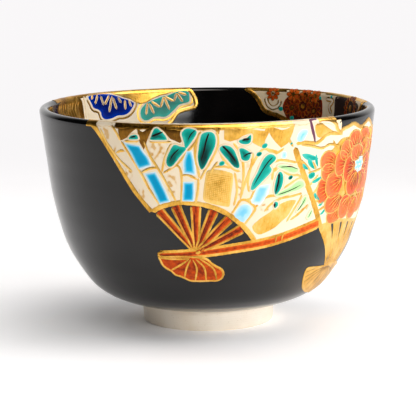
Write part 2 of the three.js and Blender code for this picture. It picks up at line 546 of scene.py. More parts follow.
def stroke(key, path, width=0.6, base=0.08, thick=0.12, ends=(1.0, 1.0), shade=0.5, closed=False,
           wobble=0.12):
    # A brushed line: a low half round carried along a smooth path. Its half width falls evenly to a share of
    # itself at each end, and the very end is a half circle.
    p = resample(smoothThrough(path, closed=closed), step=0.75, closed=closed)
    n = len(p)
    if closed:
        p = np.vstack([p, p[:1]])
        n += 1
        forward = np.roll(p[:-1], -1, axis=0) - np.roll(p[:-1], 1, axis=0)
        forward = np.vstack([forward, forward[:1]])
    else:
        forward = np.gradient(p, axis=0)
    forward /= np.maximum(np.linalg.norm(forward, axis=1), 1e-9)[:, None]
    side = np.stack([forward[:, 1], -forward[:, 0]], axis=1)     # to the right of travel
    run = np.r_[0, np.cumsum(np.linalg.norm(np.diff(p, axis=0), axis=1))]
    total = run[-1]
    half = width / 2 * handWobble(p, wobble)
    if not closed:
        share = run / total
        fade = 0.35
        start = ends[0] + (1 - ends[0]) * np.clip(share / fade, 0, 1)
        stop = ends[1] + (1 - ends[1]) * np.clip((1 - share) / fade, 0, 1)
        half = half * start * stop
        cap = np.clip(np.minimum(run, total - run) / (0.5 * width), 0, 1)
        half = np.maximum(half * np.sqrt(1 - (1 - cap) ** 2), 0.03)
    across = np.array([-1, -1, -0.72, 0, 0.72, 1, 1])
    lift = np.array([-sink, base + 0.1 * thick, base + 0.75 * thick, base + thick, base + 0.75 * thick,
                     base + 0.1 * thick, -sink])
    rise = np.array([0, 0, 0.6, 1, 0.6, 0, 0])
    place = p[:, None] + side[:, None] * (half[:, None] * across)[..., None]
    m = len(across)
    rows = np.concatenate([place, np.broadcast_to(lift, (n, m))[..., None],
                           np.broadcast_to(rise, (n, m))[..., None], np.full((n, m, 1), shade)], axis=-1)
    loft(key, rows)


def roundOutline(centre, radius, stretch=1.0, angle=0.0, count=18, bumps=0, bumpDepth=0.0):
    # A circle or ellipse turned by the angle, its radius rising and falling by a cosine once for each bump
    a = np.linspace(0, 2 * np.pi, count, endpoint=False)
    r = radius * (1 + bumpDepth * np.cos(bumps * a))
    x, y = r * stretch * np.cos(a), r * np.sin(a)
    c, s = math.cos(math.radians(angle)), math.sin(math.radians(angle))
    return np.stack([centre[0] + c * x - s * y, centre[1] + s * x + c * y], axis=1)


def softPolygon(corners, count=40, softness=2):
    # A polygon whose corners a brush has rounded: each point averaged with its neighbours, one, two, one
    p = resample(np.asarray(corners, float), count=count, closed=True)
    for _ in range(softness):
        p = (np.roll(p, 1, axis=0) + 2 * p + np.roll(p, -1, axis=0)) / 4
    return p


def grow(outline, by):
    # A closed outline moved outwards by a set distance along its own normals
    p = np.asarray(outline, float)
    along = np.roll(p, -1, axis=0) - np.roll(p, 1, axis=0)
    normal = np.stack([along[:, 1], -along[:, 0]], axis=1) / np.linalg.norm(along, axis=1)[:, None]
    area = np.sum(p[:, 0] * np.roll(p[:, 1], -1) - np.roll(p[:, 0], -1) * p[:, 1])
    return p + normal * by * np.sign(area)


leafPeak = 0.8           # below 1 the broadest place moves towards the stem
leafFullness = 0.85      # below 1 the leaf keeps its width nearer to its ends
leafMargin = 0.5         # of cream round a painted leaf


def leafSides(base, tip, width, bend=0.0, count=15):
    # Two arcs from stem to tip: half the width times a sine whose peak lies a little past the middle
    base, tip = np.asarray(base, float), np.asarray(tip, float)
    t = np.linspace(0, 1, count)
    along = tip - base
    length = np.linalg.norm(along)
    right = np.array([along[1], -along[0]]) / length
    spine = base + along * t[:, None] + right * (bend * 4 * t * (1 - t))[:, None]
    half = width / 2 * np.sin(np.pi * t ** leafPeak) ** leafFullness
    return spine, spine + right * half[:, None], spine - right * half[:, None]


def leafOutline(base, tip, width, bend=0.0):
    # Its right side to the tip and its left side back
    _, rightSide, leftSide = leafSides(base, tip, width, bend)
    return np.vstack([rightSide, leftSide[-2:0:-1]])


print("tea bowl: drawing tools ready")


# How high each kind of stroke lies over the glaze, as (base, thickness)
heights = {
    "patch": (0.07, 0.07),
    "wash": (0.05, 0.12),
    "line": (0.08, 0.08),
    "halo": (0.09, 0.09),
    "leafLine": (0.12, 0.09),
    "leaf": (0.12, 0.14),
    "vein": (0.22, 0.08),
    "overLine": (0.13, 0.1),
}


def goldLine(points, width=1.0, ends=(0.8, 0.8), level="line", shade=0.8):
    # A gold stroke along points given in degrees and millimetres up
    stroke("gilding", at(points), width, *heights[level], ends=ends, shade=shade)


def goldPatch(corners, shade=0.5, softness=2, edge=0.3):
    # A gold patch whose corners the brush has rounded
    pillow("gilding", softPolygon(at(corners), 44, softness), *heights["patch"], edge=edge, shade=shade)


def leaf(base, tip, width, bend=0.0, shade=0.5, plain=False):
    # A leaf: a pale margin, a gold line round it that runs on past the tip, the enamel and a dark rib.
    # A plain one is only the enamel.
    base, tip = at([base, tip])
    along = (tip - base) / np.linalg.norm(tip - base)
    if not plain:
        margin = leafOutline(base - 0.6 * along, tip + 1.3 * along, width + 1.1, bend)
        pillow("white", margin, *heights["halo"], edge=0.3, shade=0.85)
        _, rightSide, leftSide = leafSides(base - 0.8 * along, tip + 2.6 * along, width + 1.8, bend)
        for side in (rightSide, leftSide):
            stroke("gilding", side[::2], 0.78, *heights["leafLine"], ends=(0.7, 0.6))
    body = leafOutline(base, tip, width, bend)
    depth = shade + 0.6 * ((body - base) @ along / np.linalg.norm(tip - base) - 0.45)
    pillow("green", body, *heights["leaf"], edge=0.2 * width, shade=depth)
    if not plain:
        spine, _, _ = leafSides(base, tip, width, bend)
        stroke("ink", spine[1:-3:2], 0.16 * width, *heights["vein"], ends=(0.5, 0.25), shade=0.75)


def paintedLeaf(outline, rib, light, dark, ribWidth, key="green"):
    # A leaf with an outline of its own, on a pale margin. Its depth of colour runs evenly from light to dark
    # along its rib.
    body = resample(smoothThrough(at(outline), 6, closed=True), count=40, closed=True)
    spine = at(rib)
    along = spine[-1] - spine[0]
    share = np.clip((body - spine[0]) @ along / (along @ along), 0, 1)
    pillow("white", grow(body, leafMargin), *heights["halo"], edge=0.3, shade=0.8)
    pillow(key, body, *heights["leaf"], edge=0.9, shade=light + (dark - light) * share)
    stroke("ink", spine, ribWidth, *heights["vein"], ends=(0.9, 0.35), shade=0.75)


def stain(centre, reach, strength=1.0):
    # Gold dust fired into the cream: a disc of the same enamel whose colour goes ochre in patches, by a
    # sum of sine waves over the wall, and fades to plain cream at its edge
    middle = at(centre)
    rings, around = max(6, int(max(reach) / 0.35)), 44
    r = np.linspace(1, 0.02, rings)[:, None]
    a = np.linspace(0, 2 * np.pi, around, endpoint=False)[None, :]
    x, y = middle[0] + reach[0] * r * np.cos(a), middle[1] + reach[1] * r * np.sin(a)
    waves = rng.uniform(-1, 1, (12, 3)) * (3.4, 3.4, np.pi)
    patchy = sum(np.sin(u * x + v * y + phase) for u, v, phase in waves) / 2.4
    ochre = np.clip(0.5 + 0.6 * patchy, 0, 1) * np.clip(1.1 - r, 0, 0.45) / 0.45 * strength
    disc = np.dstack([x, y, np.full(x.shape, 0.112), np.ones(x.shape),
                      np.maximum(0.75 - 1.7 * ochre, -0.5)])
    skirt = disc[:1].copy()
    skirt[..., 2] = -sink
    loft("white", np.concatenate([skirt, disc]))


def polarCurve(pivot, line):
    # A line seen from the pivot: its distance at an angle, read off between the points on either side
    p = resample(line, step=0.4) - pivot
    angle = np.degrees(np.arctan2(p[:, 1], p[:, 0]))
    order = np.argsort(angle)
    return lambda a: np.interp(a, angle[order], np.linalg.norm(p, axis=1)[order])


def polarPoint(pivot, angle, distance):
    # The pivot plus the distance times the cosine and sine of the angle
    a = np.radians(angle)
    return np.stack([pivot[0] + distance * np.cos(a), pivot[1] + distance * np.sin(a)], axis=-1)


def radialBand(key, pivot, low, high, angles, **settings):
    # A patch ruled between two lines along rays from the pivot
    inner = polarPoint(pivot, angles, polarCurve(pivot, low)(angles))
    outer = polarPoint(pivot, angles, polarCurve(pivot, high)(angles))
    ribbon(key, outer, inner, **settings)


def lipBand(fromDegrees, toDegrees, fromUp, toUp, shade=0.4, key="gilding", waves=0.0, base=0.02):
    # A band along the rim that follows the lip over its crest
    n = int(abs(toDegrees - fromDegrees)) + 2
    x = np.linspace(fromDegrees, toDegrees, n) * mmPerDegree
    shade = np.linspace(*shade, n) if isinstance(shade, tuple) else shade
    low = fromUp + waves * np.sin(x * 0.9) + waves * 0.6 * np.sin(x * 2.3 + 1)
    ribbon(key, np.column_stack([x, np.full(n, toUp)]), np.column_stack([x, low]), base, 0.12, 0.3, shade,
           across=max(4, int((toUp - fromUp) / 0.45)))


# The front fan: a cream leaf with bamboo, gold clouds and leaves, red sticks and a red tail below them

frontFan = {
    "pivot": (-4.2, 42.6),
    "outerEdge": [(-42.3, 88.4), (-40.6, 86.4), (-38.2, 83.8), (-33.2, 76.2), (-27.0, 65.6), (-23.6, 61.0),
                  (-20.4, 57.0)],
    "innerEdge": [(-38.8, 88.4), (-37.6, 86.4), (-35.6, 83.0), (-30.4, 74.4), (-24.4, 64.9), (-21.6, 61.2),
                  (-18.6, 57.8)],
    "arc": [(-19.4, 57.4), (-15.6, 59.5), (-10.0, 61.0), (-5.0, 60.9), (0.0, 60.0), (5.0, 58.0),
            (10.0, 54.5), (14.0, 50.5), (17.2, 46.4)],
    "guard": [(-18.2, 41.15), (-10.4, 41.7), (-2.9, 42.4), (4.4, 43.3), (11.7, 44.3), (19.2, 45.2),
              (26.9, 46.6), (35.2, 48.6), (43.6, 50.6)],
    "guardWidth": (1.6, 2.4),
    "farSide": [(44.5, 53.4), (47.5, 68.0), (50.0, 80.0), (50.0, 87.2)],
    "leafTop": 87.2,
    "leafAngles": (135.3, 10.2),                 # where the leaf starts and ends, round the pivot
    "ribAngles": (130.5, 112.0, 89.5, 67.5, 46.5, 27.5),
    "ribWidth": 2.5,
    "arcWidth": 1.9,
    "guardLoop": [(-16.4, 42.5), (-18.3, 42.0), (-18.5, 41.0), (-16.5, 40.3)],
    "guardBands": [[(25.1, 45.4), (25.3, 48.0)], [(27.6, 45.9), (27.8, 48.5)]],
    "pin": (-3.6, 42.6),
    "pinRadius": 0.7,
    "tailMiddle": (-5.0, 36.4),
    # along the lip: from, to, lowest, highest, finish, depth of colour. The long gold band runs from dark at
    # the left to bright at the right: painted shade and painted highlight over the gold.
    "lip": [(-42.6, -38.0, 86.4, 92.2, "gilding", 0.3), (-38.2, -30.8, 86.6, 92.2, "white", 0.75),
            (-31.0, 28.6, 86.4, 92.2, "gilding", (-0.4, 1.0)), (28.4, 39.0, 86.8, 92.2, "white", 0.8),
            (38.8, 47.0, 87.0, 92.2, "gilding", 0.8)],
    "lipCrest": (-38.0, 39.0, 88.4, 90.3),       # a painted highlight: a line of cream along the very top, where the crest catches the light
    "tail": [(-18.6, 40.4), (-18.2, 39.6), (-17.4, 37.2), (-15.6, 35.6), (-14.5, 35.2), (-13.5, 33.6),
             (-11.2, 32.8), (-9.3, 31.9), (-7.3, 30.8), (-3.3, 30.6), (0.7, 30.8), (4.4, 31.0),
             (5.9, 33.2), (5.4, 35.4), (3.4, 36.8), (1.1, 38.4), (-1.1, 40.2), (-8.0, 41.0)],
    "tailRibs": [[(-18.0, 40.0), (-12.0, 39.9), (-6.7, 40.2)],
                 [(-7.0, 40.0), (-10.4, 37.6), (-14.4, 35.2)], [(-6.4, 40.0), (-8.2, 36.4), (-9.4, 32.0)],
                 [(-5.7, 39.9), (-4.3, 36.2), (-5.2, 30.9)], [(-4.6, 40.1), (-1.4, 36.4), (-0.8, 30.9)],
                 [(-3.2, 40.3), (2.0, 36.2), (3.4, 31.2)]],
}


def layStick(pivot, start, stop, width, level, shade):
    # One red stick with a gold line down each side, widening evenly from 0.4 to 1 of its width
    start, stop = np.asarray(start), np.asarray(stop)
    along = (stop - start) / np.linalg.norm(stop - start)
    side = np.array([-along[1], along[0]])
    t = np.linspace(0, 1, 12)[:, None]
    half = (0.2 + 0.3 * t) * width
    spine = start + (stop - start) * t
    ribbon("red", spine + side * half, spine - side * half, base=level, thick=0.1, shade=shade)
    stroke("red", (spine + side * 0.5 * half)[1:-1:3], 0.35 * width, base=level + 0.06, thick=0.06,
           ends=(0.4, 0.6), shade=0.9)
    for s in (-1, 1):
        stroke("gilding", np.vstack([spine + side * s * (half + 0.32),
                                     stop + side * s * (0.5 * width + 0.4)])[::3], 0.78,
               base=level + 0.02, thick=0.1, shade=0.35)


def layFanGround():
    # The cream leaf ruled along rays between the arc and the lip, its gold edge and the bands on the lip
    fan = frontFan
    pivot = at(fan["pivot"])
    arc = smoothThrough(at(fan["arc"]))
    top = at([(-38.2, fan["leafTop"]), (49.8, fan["leafTop"])])
    high = np.vstack([at(fan["innerEdge"][::-1][:-1]) - (1.0, 0.3), top, at(fan["farSide"][::-1][1:])])
    radialBand("white", pivot, arc, high, np.linspace(*fan["leafAngles"], 110), base=0.0, thick=0.1,
               shade=0.75)
    n = 60
    ribbon("gilding", resample(smoothThrough(at(fan["innerEdge"])), count=n),
           resample(smoothThrough(at(fan["outerEdge"])), count=n), base=0.02, thick=0.12, shade=0.35)
    # the lip's gold goes from painted shade at the left to a painted highlight at the right
    for start, stop, lowest, highest, key, shade in fan["lip"]:
        lipBand(start, stop, lowest, highest, shade, key, 0.2)
    # a painted highlight: cream enamel along the crest where the light catches it
    lipBand(*fan["lipCrest"], 0.9, "white", base=0.09)


def layFanFrame():
    # The arc, the red sticks, the guard stick and the tail
    fan = frontFan
    pivot = at(fan["pivot"])
    stroke("gilding", at(fan["arc"]), fan["arcWidth"], 0.05, 0.1, shade=0.45)
    reach = polarCurve(pivot, smoothThrough(at(fan["arc"])))
    for i, angle in enumerate(fan["ribAngles"]):
        layStick(pivot, polarPoint(pivot, angle, 0.6), polarPoint(pivot, angle, reach(angle) - 1.1),
                 fan["ribWidth"], 0.02 + 0.012 * i, 0.35 + 0.3 * (i % 2))
    # the guard stick, its gold edges and the gold band of the leaf above it
    guard = resample(smoothThrough(at(fan["guard"])), count=46)
    forward = np.gradient(guard, axis=0)
    side = np.stack([-forward[:, 1], forward[:, 0]], axis=1) / np.linalg.norm(forward, axis=1)[:, None]
    half = np.linspace(*fan["guardWidth"], len(guard))[:, None] / 2
    # the red is painted darker at the left end and lighter at the right: painted shade and light
    ribbon("red", guard + side * half, guard - side * half, 0.1, 0.1,
           shade=np.linspace(0.6, -0.1, len(guard)))
    for s in (-1, 1):
        stroke("gilding", (guard + side * s * (half + 0.4))[::5], 1.15, 0.1, 0.06, shade=0.5)
    stroke("gilding", at(fan["guardLoop"]), 0.95, 0.14, 0.2, shade=0.5)
    for band in fan["guardBands"]:
        stroke("gilding", at(band), 0.7, 0.2, 0.14, shade=0.7)
    pillow("gilding", roundOutline(at(fan["pin"]), fan["pinRadius"], 1.4, 15, 14), 0.16, 0.16, edge=0.3)
    # the tail: a red shell with gold ribs and a gold edge
    tail = resample(smoothThrough(at(fan["tail"]), closed=True), count=56, closed=True)
    pillow("red", tail, 0.02, 0.14, edge=0.5, shade=0.45, centre=at(fan["tailMiddle"]))
    stroke("gilding", tail[::2], 0.95, 0.06, 0.2, closed=True)
    for rib in fan["tailRibs"]:
        goldLine(rib, 0.8, (0.6, 1.0), "overLine", 0.4)


bamboo = {
    "sideLines": [[(-28.8, 81.9), (-25.0, 75.4), (-22.1, 70.2), (-19.6, 65.1), (-16.4, 59.8)],
                  [(-20.6, 82.3), (-18.8, 77.2), (-16.2, 72.6), (-13.2, 66.8), (-10.6, 61.2)],
                  [(-11.9, 74.2), (-9.6, 73.9), (-8.7, 71.8), (-8.5, 67.2), (-9.0, 60.8)],
                  [(-3.0, 69.8), (-3.2, 65.5), (-4.1, 60.6)],
                  [(8.0, 56.8), (9.6, 59.2), (10.9, 61.4), (12.3, 61.8), (14.4, 60.8), (16.3, 58.6),
                   (15.4, 56.5), (12.7, 52.6)],
                  [(10.9, 62.0), (12.8, 68.7), (14.6, 73.8), (17.8, 79.0), (20.6, 78.8), (23.5, 78.0)]],
    "nodes": [[(-22.4, 71.0), (-20.2, 72.3), (-18.4, 72.9), (-16.0, 73.2)],
              [(-8.4, 70.6), (-6.4, 70.8), (-4.8, 70.0), (-3.1, 69.0)],
              [(12.7, 61.9), (14.6, 62.2), (16.2, 65.8), (18.3, 68.4), (21.8, 71.0), (23.9, 72.0)]],
    # long panes between two lines, and rounded ones by their outline, each with its depth of colour
    "panes": [
        ([(-27.8, 81.6), (-25.9, 78.6), (-24.4, 75.2), (-22.7, 72.1)],
         [(-22.4, 80.8), (-21.0, 78.4), (-19.4, 76.2), (-18.7, 73.6)], 0.45),
        ([(-21.0, 71.0), (-19.0, 66.4), (-16.2, 60.2)], [(-17.6, 71.8), (-15.0, 66.6), (-12.8, 61.0)],
         0.6),
        ([(-7.9, 68.5), (-8.2, 65.0), (-8.3, 61.3)], [(-4.7, 68.6), (-4.5, 65.0), (-4.9, 61.3)], 0.6),
        ([(-6.4, 79.4), (-7.6, 75.8), (-7.7, 71.1)], [(-5.2, 79.5), (-4.3, 75.0), (-4.1, 70.6)], 0.3),
        ([(17.6, 66.6), (15.8, 63.6), (14.9, 60.2)], [(21.1, 67.0), (20.2, 63.0), (17.4, 59.4)], -0.38),
    ],
    "roundPanes": [
        ([(9.0, 56.0), (10.3, 58.8), (12.4, 60.2), (14.5, 59.4), (15.1, 57.6), (14.0, 55.4), (11.9, 53.6),
          (10.1, 54.9)], -0.22),
        ([(30.2, 82.3), (30.8, 84.1), (32.2, 85.2), (34.1, 84.7), (33.6, 82.8), (32.1, 80.6),
          (30.7, 80.9)], -0.2),
        ([(25.1, 77.8), (26.2, 77.8), (26.7, 76.7), (26.2, 75.5), (25.0, 75.9)], -0.2),
    ],
    # the gold clouds along the rim, by their lower edge from left to right, and how bright the gold is:
    # darker at the left and lighter at the right, as painted shade and painted highlight
    "clouds": [
        ([(-29.5, 84.6), (-29.2, 82.0), (-28.1, 82.3), (-26.6, 83.1), (-25.3, 84.6), (-22.7, 86.8),
          (-22.4, 82.6), (-22.0, 81.4), (-20.8, 79.2), (-20.0, 81.0), (-19.2, 83.1), (-18.4, 84.9),
          (-17.3, 86.6), (-16.2, 87.3), (-15.0, 86.7), (-13.4, 85.0), (-11.6, 83.1), (-10.3, 82.6),
          (-8.7, 81.8), (-8.0, 82.6), (-7.6, 86.6)], -0.5),
        ([(-2.6, 87.2), (-1.6, 86.2), (0.3, 86.7), (2.4, 86.4), (3.2, 84.6), (3.7, 84.8), (4.2, 87.2)],
         0.0),
        ([(5.3, 83.0), (7.2, 82.2), (9.5, 82.8), (11.4, 84.1), (14.0, 85.0), (14.5, 81.6), (16.4, 80.4),
          (18.4, 79.4), (18.8, 82.4), (20.0, 84.8), (20.9, 83.2), (22.2, 81.5), (24.5, 79.2), (27.0, 80.8),
          (28.3, 84.0), (29.0, 86.8)], 0.55),
    ],
    "squares": [
        ([(-1.2, 67.2), (-0.4, 72.4), (2.1, 72.9), (5.4, 72.3), (8.6, 71.2), (8.4, 67.4), (7.8, 62.9),
          (7.5, 59.2), (5.5, 59.6), (1.4, 60.5), (-1.7, 61.7), (-1.5, 64.8)], 0.95),
        ([(15.6, 52.4), (19.0, 55.2), (21.9, 56.8), (23.6, 58.5), (26.6, 60.0), (29.2, 60.6), (32.2, 60.4),
          (30.4, 57.5), (28.8, 54.4), (27.2, 53.5), (24.4, 50.9), (19.6, 48.8), (18.1, 48.6), (16.5, 49.8),
          (15.4, 51.4)], 0.75),
    ],
    # brush lines that cross the first square like cloth: the first line and the last of each set
    "weave": [
        ([(-0.9, 68.0), (-1.2, 62.2)], [(8.2, 70.2), (7.2, 60.2)]),
        ([(-0.2, 72.0), (8.2, 70.6)], [(-1.2, 62.4), (7.2, 60.2)]),
    ],
    "weaveLines": (13, 15),
    # outline, rib, depth of colour at its start and its end, width of the rib
    "leaves": [
        ([(-25.9, 82.8), (-25.0, 84.2), (-22.9, 84.5), (-22.6, 82.9)], [(-25.4, 83.4), (-23.1, 84.0)], 0.2,
         0.5, 0.6),
        ([(-18.3, 82.8), (-18.2, 84.0), (-17.3, 86.2), (-16.2, 87.0), (-15.0, 86.4), (-13.7, 85.2),
          (-12.8, 83.6), (-13.2, 82.9)], [(-18.0, 84.0), (-16.7, 84.6), (-14.0, 85.8)], 0.75, 0.3, 0.9),
        ([(-8.2, 85.1), (-7.5, 86.4), (-6.2, 87.0), (-4.5, 86.8), (-3.3, 86.2), (-3.3, 85.2), (-4.0, 83.7),
          (-5.5, 81.4), (-7.0, 79.9), (-7.5, 82.0)], [(-6.1, 83.0), (-5.1, 85.1), (-3.5, 86.6)], 0.15, 0.5,
         0.45),
        ([(-12.8, 73.5), (-13.5, 74.8), (-13.3, 76.6), (-12.4, 78.8), (-11.3, 80.8), (-10.3, 81.5),
          (-8.6, 80.9), (-6.9, 80.6), (-6.7, 79.8), (-7.9, 78.2), (-9.6, 75.9), (-11.4, 73.8)],
         [(-9.0, 80.0), (-11.1, 77.8), (-12.2, 75.6)], 0.25, 0.85, 0.6),
        ([(-2.0, 84.8), (-1.2, 85.6), (0.3, 86.0), (1.9, 85.6), (2.7, 84.0), (2.7, 81.6), (1.9, 79.0),
          (0.6, 76.4), (-0.7, 73.8), (-1.9, 72.5), (-2.8, 74.2), (-3.2, 77.0), (-2.9, 80.4), (-2.5, 82.8)],
         [(0.5, 85.4), (-0.4, 82.6), (-1.0, 79.6), (-2.1, 75.6)], 0.15, 1.15, 0.7),
        ([(4.0, 80.6), (5.3, 81.2), (7.2, 80.8), (8.6, 79.5), (9.7, 77.0), (10.5, 74.2), (10.3, 72.9),
          (8.8, 73.3), (7.0, 75.2), (5.0, 77.7), (3.9, 79.4)],
         [(4.7, 81.0), (6.6, 79.0), (8.2, 76.8), (9.2, 75.2)], 0.2, 1.0, 1.0),
        ([(14.4, 65.2), (14.9, 67.9), (16.2, 70.6), (17.4, 73.7), (18.6, 76.1), (20.0, 77.4), (21.6, 77.4),
          (23.0, 76.2), (22.4, 74.8), (20.8, 73.8), (21.7, 72.0), (21.0, 70.4), (19.0, 68.4), (17.0, 66.4),
          (15.4, 65.0)], [(21.6, 76.3), (19.8, 74.3), (17.5, 70.6), (15.3, 66.4)], 0.1, -0.1, 0.55),
        ([(10.2, 79.8), (11.4, 80.0), (12.6, 79.4), (13.9, 78.4), (14.2, 77.2), (13.6, 75.7), (12.4, 75.3),
          (11.0, 76.0), (10.5, 77.8)], [(14.6, 78.2), (12.8, 77.8), (11.6, 76.8)], 0.3, 0.5, 0.6),
        ([(9.9, 82.5), (11.4, 83.3), (12.7, 83.7), (13.9, 84.6), (14.2, 83.4), (14.0, 81.9), (12.8, 81.1),
          (10.8, 81.4)], [(11.0, 82.6), (12.4, 83.0), (13.8, 83.0)], 0.35, 0.75, 0.9),
        ([(24.3, 71.0), (25.4, 70.7), (26.1, 69.0), (26.0, 66.4), (25.0, 64.2), (23.6, 62.8), (22.9, 63.8),
          (22.8, 66.0), (23.3, 68.8)], [(24.3, 70.6), (24.2, 67.6), (23.3, 63.2)], 0.3, 0.4, 0.85),
        ([(23.2, 60.4), (24.6, 60.2), (24.7, 58.9), (23.4, 58.0)], [(23.4, 60.2), (23.3, 58.4)], 0.1, 0.3,
         0.7),
    ],
    "paleLeaves": [
        ([(23.4, 73.0), (25.6, 73.4), (28.3, 72.8), (30.7, 72.1), (31.8, 71.0), (31.0, 70.1), (28.5, 70.4),
          (25.8, 71.6)], [(24.6, 72.6), (28.4, 72.5), (30.3, 71.8), (31.6, 71.3)], 0.3, 0.5, 0.42),
        ([(23.3, 62.8), (27.0, 64.6), (30.0, 66.2), (32.3, 67.4), (34.0, 66.9), (35.0, 65.4), (33.0, 64.0),
          (29.0, 63.1), (25.2, 62.3)], [(24.4, 62.9), (29.0, 64.1), (33.3, 65.7)], 0.5, 0.3, 0.42),
        ([(32.2, 55.9), (33.6, 58.3), (34.6, 60.8), (35.8, 61.4), (36.4, 60.2), (35.0, 57.8),
          (33.0, 56.2)], [(32.6, 56.3), (34.4, 58.6), (35.7, 61.0)], 0.3, 0.5, 0.42),
        ([(37.2, 53.4), (38.2, 55.4), (39.2, 56.2), (39.6, 54.8), (38.4, 53.0)],
         [(37.9, 53.4), (39.1, 55.8)], 0.3, 0.5, 0.35),
    ],
    "buds": [(4.7, 74.8, 0.8, 0.2), (18.7, 80.4, 0.85, 0.1), (16.9, 77.6, 0.8, 0.6),
             (28.8, 68.6, 0.75, 0.9), (28.2, 80.6, 0.4, 0.9)],
    "lines": [[(-32.6, 88.4), (-30.4, 85.0), (-29.0, 81.9)],
              [(-36.6, 86.0), (-34.8, 81.8), (-32.6, 78.5), (-29.9, 75.1), (-25.4, 71.2)],
              [(-31.2, 77.5), (-29.2, 78.5), (-27.6, 78.4)], [(-27.6, 82.0), (-22.3, 82.2)],
              [(-18.9, 82.1), (-11.3, 82.3)],
              [(-11.3, 81.9), (-12.3, 80.2), (-13.8, 76.6), (-14.6, 73.8), (-15.1, 71.4)],
              [(-2.0, 86.2), (-2.6, 84.0), (-4.6, 81.0), (-6.8, 78.5), (-8.9, 75.6), (-11.6, 73.2),
               (-14.8, 71.2)],
              [(-2.4, 85.6), (-3.4, 83.0), (-3.9, 79.6), (-3.8, 76.0), (-3.2, 73.2), (-2.6, 69.6)],
              [(2.9, 86.0), (3.4, 83.6), (3.2, 80.8), (2.1, 77.8), (0.5, 74.6), (-1.4, 71.2),
               (-2.4, 69.0)], [(3.4, 80.9), (4.9, 76.6), (7.0, 74.2), (8.8, 72.4), (10.9, 71.8)],
              [(-0.2, 68.2), (1.1, 71.8), (3.4, 75.6)], [(1.5, 73.4), (5.4, 73.7), (7.6, 73.0)],
              [(8.2, 81.9), (10.3, 78.8), (11.6, 74.7), (11.8, 68.7), (11.0, 62.0)],
              [(8.9, 71.6), (9.8, 65.3), (8.8, 59.6)],
              [(14.9, 78.2), (14.6, 75.0), (13.4, 68.4), (14.0, 64.2)],
              [(16.3, 58.6), (18.6, 61.4), (21.5, 62.6), (27.1, 62.4)],
              [(19.6, 57.0), (21.7, 59.4), (25.4, 61.4), (30.0, 61.9), (34.0, 62.6)],
              [(21.4, 74.2), (24.4, 75.1), (28.2, 74.4), (31.0, 73.6)],
              [(25.8, 71.2), (28.5, 69.6), (31.6, 69.2), (34.0, 67.9)],
              [(26.4, 64.9), (29.6, 66.8), (33.2, 68.4)], [(21.9, 68.0), (22.2, 71.7), (23.8, 72.4)],
              [(28.6, 52.6), (30.6, 56.1), (32.8, 59.6), (34.1, 62.2)],
              [(30.0, 53.2), (33.4, 55.2), (37.2, 58.3)], [(26.8, 82.6), (29.0, 79.3)],
              [(19.2, 79.3), (22.6, 77.6), (25.6, 79.2)]],
    # where the gold dust lies: middle, reach to each side and up in mm, strength
    "dust": [((-16.4, 79.0), (3.2, 3.8), 1.0), ((-11.9, 67.4), (2.0, 4.8), 0.9),
             ((-34.6, 84.2), (1.9, 3.6), 0.7), ((-31.0, 77.0), (1.8, 3.4), 0.7),
             ((-26.9, 70.2), (1.6, 3.2), 0.9), ((-22.6, 63.6), (1.4, 3.0), 0.8),
             ((10.6, 66.4), (1.2, 4.2), 0.7), ((20.0, 58.6), (2.6, 1.6), 0.8),
             ((13.4, 72.4), (1.1, 3.4), 0.5), ((28.6, 56.6), (2.2, 1.6), 0.6),
             ((37.0, 57.8), (1.6, 2.2), 0.7), ((4.6, 76.0), (2.0, 1.4), 0.4)],
    "goldPlate": [(37.0, 86.3), (38.4, 86.9), (40.0, 86.8), (43.4, 84.7), (46.0, 83.3), (44.2, 82.9),
                  (41.8, 82.6), (39.8, 81.5), (38.4, 82.0), (37.2, 84.2)],
    "plateEdge": [(39.3, 88.2), (42.3, 88.0), (44.9, 87.2), (46.7, 85.8), (48.0, 83.6), (50.7, 81.7)],
    "plum": [(38.6, 88.6), (35.7, 88.3), (35.5, 86.8), (36.2, 84.6), (37.0, 82.5), (37.7, 80.2)],
}


